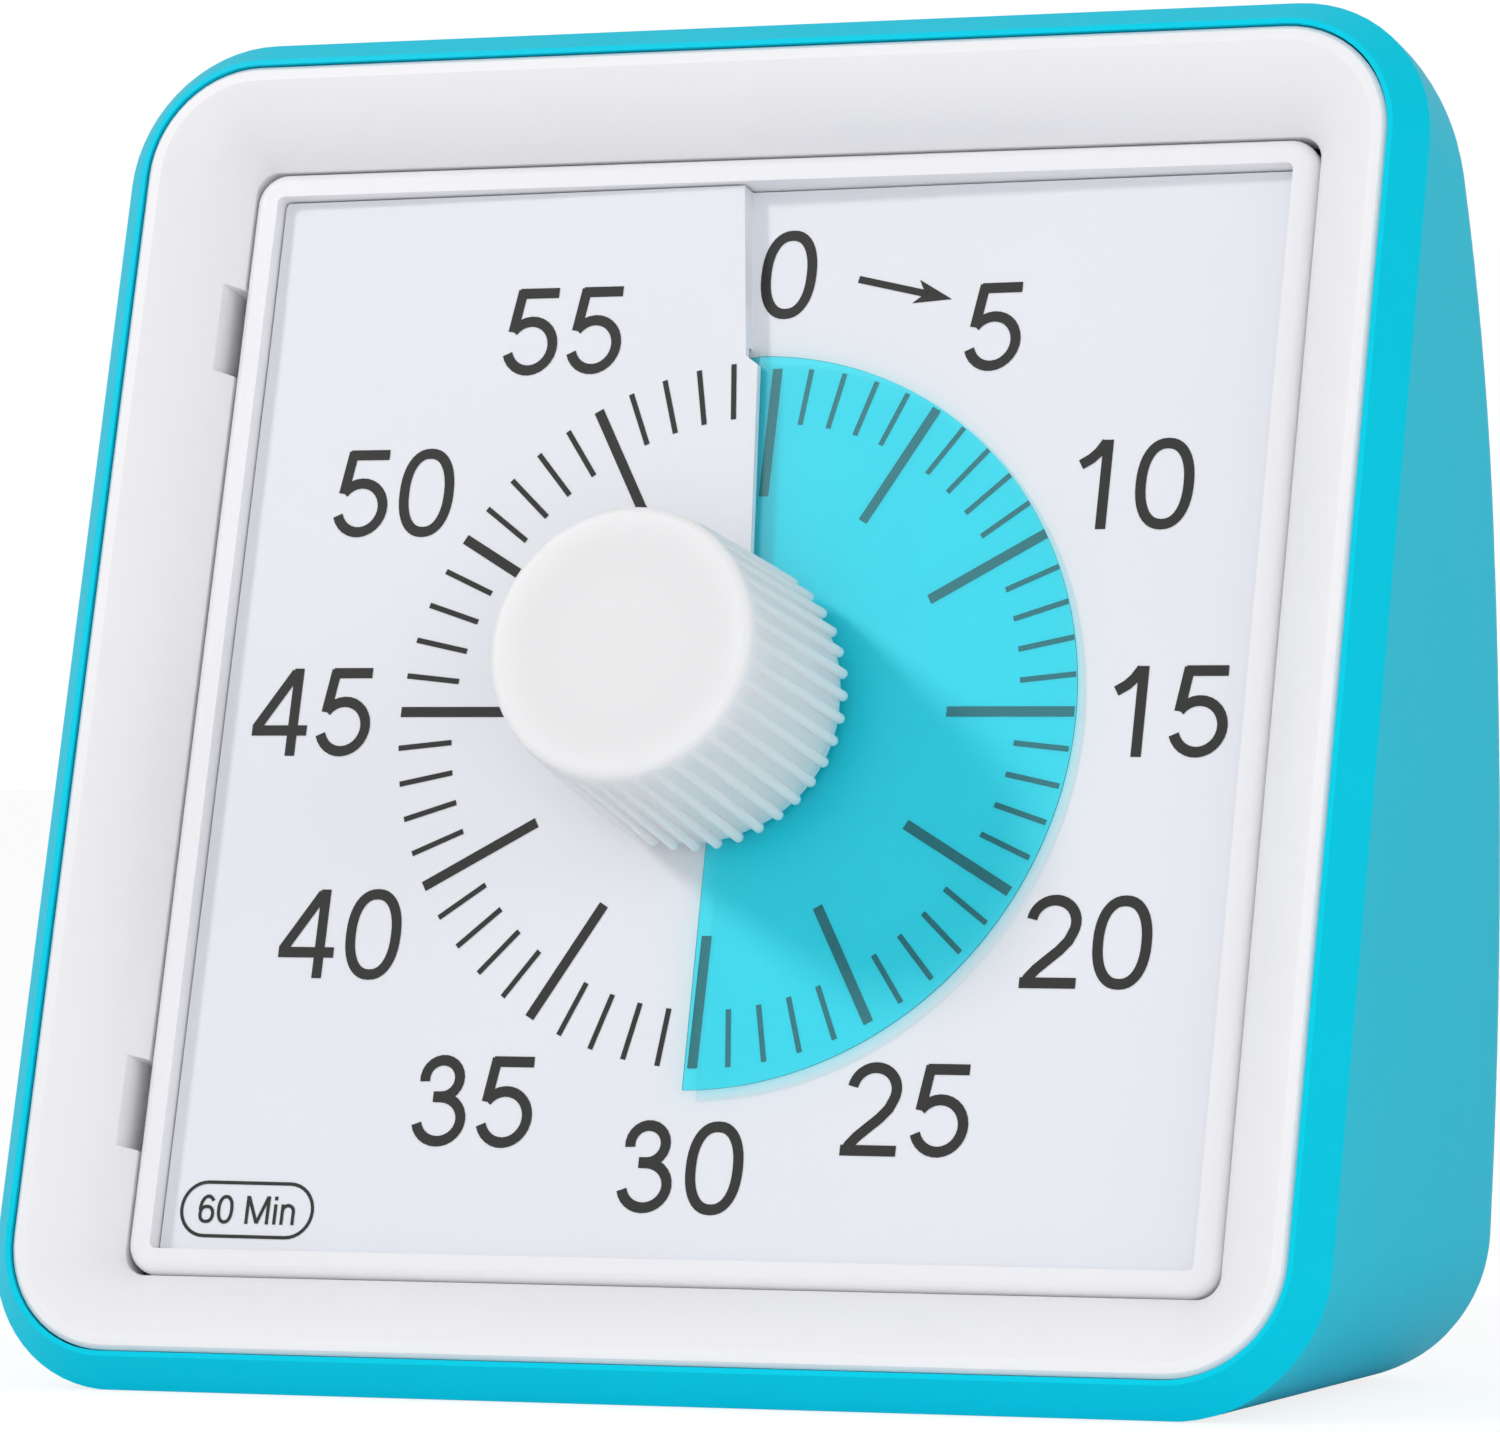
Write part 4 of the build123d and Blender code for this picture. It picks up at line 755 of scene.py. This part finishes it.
class OBJECT_OT_timer_stage(TimerStep):
    """Lays the floor and sets lamps, room light and camera"""
    bl_idname = "object.timer_stage"
    bl_label = "Stage"

    def execute(self, context):
        scene = context.scene
        studio = scene.timer_studio
        scene.view_settings.view_transform = "Standard"

        floor_half, floor_height = 6.0, -5e-5
        floor_glow, glow_share, backdrop = 1.14, 0.72, 1.03
        bench = Bench("floor paint", Roughness=0.8, Specular_IOR_Level=0.2)
        cloud = bench.grain(60.0, detail=2.0)
        bench.wear(Base_Color=bench.blend(cloud, (0.86, 0.86, 0.87), (0.89, 0.89, 0.90)))
        seen = bench.node("ShaderNodeLightPath", None, out="Is Camera Ray")
        glow = bench.node("ShaderNodeEmission", None, Color=(1.0, 1.0, 1.0), Strength=floor_glow)
        paint = Value(bench, bench.shader.outputs[0])
        mixed = bench.node("ShaderNodeMixShader", None, seen * glow_share, paint, glow)
        bench.tree.links.new(mixed.socket, bench.output.inputs["Surface"])
        corners = [(x * floor_half, y * floor_half, floor_height)
                   for x, y in ((-1, -1), (1, -1), (1, 1), (-1, 1))]
        floor = new_piece("studio_floor", corners, [(0, 1, 2, 3)], bench.material, body=None)

        world = bpy.data.worlds.new("studio room")
        world.use_nodes = True
        scene.world = world
        tree = world.node_tree
        back = tree.nodes["Background"]
        back.inputs["Color"].default_value = (0.97, 0.98, 1.0, 1.0)
        path = tree.nodes.new("ShaderNodeLightPath")
        level = tree.nodes.new("ShaderNodeMapRange")
        tree.links.new(path.outputs["Is Camera Ray"], level.inputs["Value"])
        level.inputs["To Min"].default_value = studio.air
        level.inputs["To Max"].default_value = backdrop
        tree.links.new(level.outputs[0], back.inputs["Strength"])

        def lamp(name, place, aim, size, power, tone):
            light = bpy.data.lights.new(name, "AREA")
            light.shape = "DISK"
            light.size = size
            light.energy = power
            light.color = tone
            holder = bpy.data.objects.new(name, light)
            scene.collection.objects.link(holder)
            holder.location = place
            holder.rotation_mode = "QUATERNION"
            holder.rotation_quaternion = (Vector(aim) - Vector(place)).to_track_quat("-Z", "Y")

        aim = tuple(on_dial(0, 0, 0))
        lamp("key_lamp", (-0.43, -0.44, 0.48), aim, 0.13, studio.key, (1.0, 0.985, 0.97))
        lamp("right_lamp", (0.75, -0.35, 0.30), aim, 0.5, studio.fill, (0.97, 0.985, 1.0))
        lamp("low_lamp", (0.09, -0.225, 0.012), aim, 0.16, studio.low, (1.0, 0.98, 0.985))

        ahead, top = Vector(CAMERA_AHEAD), Vector(CAMERA_TOP)
        right = ahead.cross(top)
        camera = bpy.data.cameras.new("camera")
        camera.lens = studio.lens
        camera.sensor_width = 36.0
        camera.clip_start, camera.clip_end = 0.01, 50.0
        holder = bpy.data.objects.new("camera", camera)
        scene.collection.objects.link(holder)
        holder.location = Vector(CAMERA_AT) * MM
        holder.rotation_mode = "QUATERNION"
        holder.rotation_quaternion = Matrix((right, top, -ahead)).transposed().to_quaternion()
        scene.camera = holder
        return {"FINISHED"}


STEPS = (OBJECT_OT_timer_case, OBJECT_OT_timer_bezel, OBJECT_OT_timer_dial, OBJECT_OT_timer_disc,
         OBJECT_OT_timer_knob, OBJECT_OT_timer_movement, OBJECT_OT_timer_power, OBJECT_OT_timer_alarm,
         OBJECT_OT_timer_stage)


class VIEW3D_PT_timer(bpy.types.Panel):
    """The timer's settings and steps"""
    bl_label = "Countdown timer"
    bl_idname = "VIEW3D_PT_timer"
    bl_space_type = "VIEW_3D"
    bl_region_type = "UI"
    bl_category = "Timer"

    def draw(self, context):
        for group in ("timer_finishes", "timer_print", "timer_studio"):
            settings = getattr(context.scene, group)
            box = self.layout.box()
            for name in settings.__annotations__:
                box.prop(settings, name)
        for step in STEPS:
            self.layout.operator(step.bl_idname)


GROUPS = {"timer_finishes": TimerFinishes, "timer_print": TimerPrint, "timer_studio": TimerStudio}


def register():
    for item in (*GROUPS.values(), *STEPS, VIEW3D_PT_timer):
        bpy.utils.register_class(item)
    for name, group in GROUPS.items():
        setattr(bpy.types.Scene, name, bpy.props.PointerProperty(type=group))


def unregister():
    for name in GROUPS:
        delattr(bpy.types.Scene, name)
    for item in reversed((*GROUPS.values(), *STEPS, VIEW3D_PT_timer)):
        bpy.utils.unregister_class(item)


def main():
    register()
    for step in STEPS:
        group, name = step.bl_idname.split(".")
        getattr(getattr(bpy.ops, group), name)()
    bpy.context.view_layer.update()


if __name__ == "__main__":
    main()
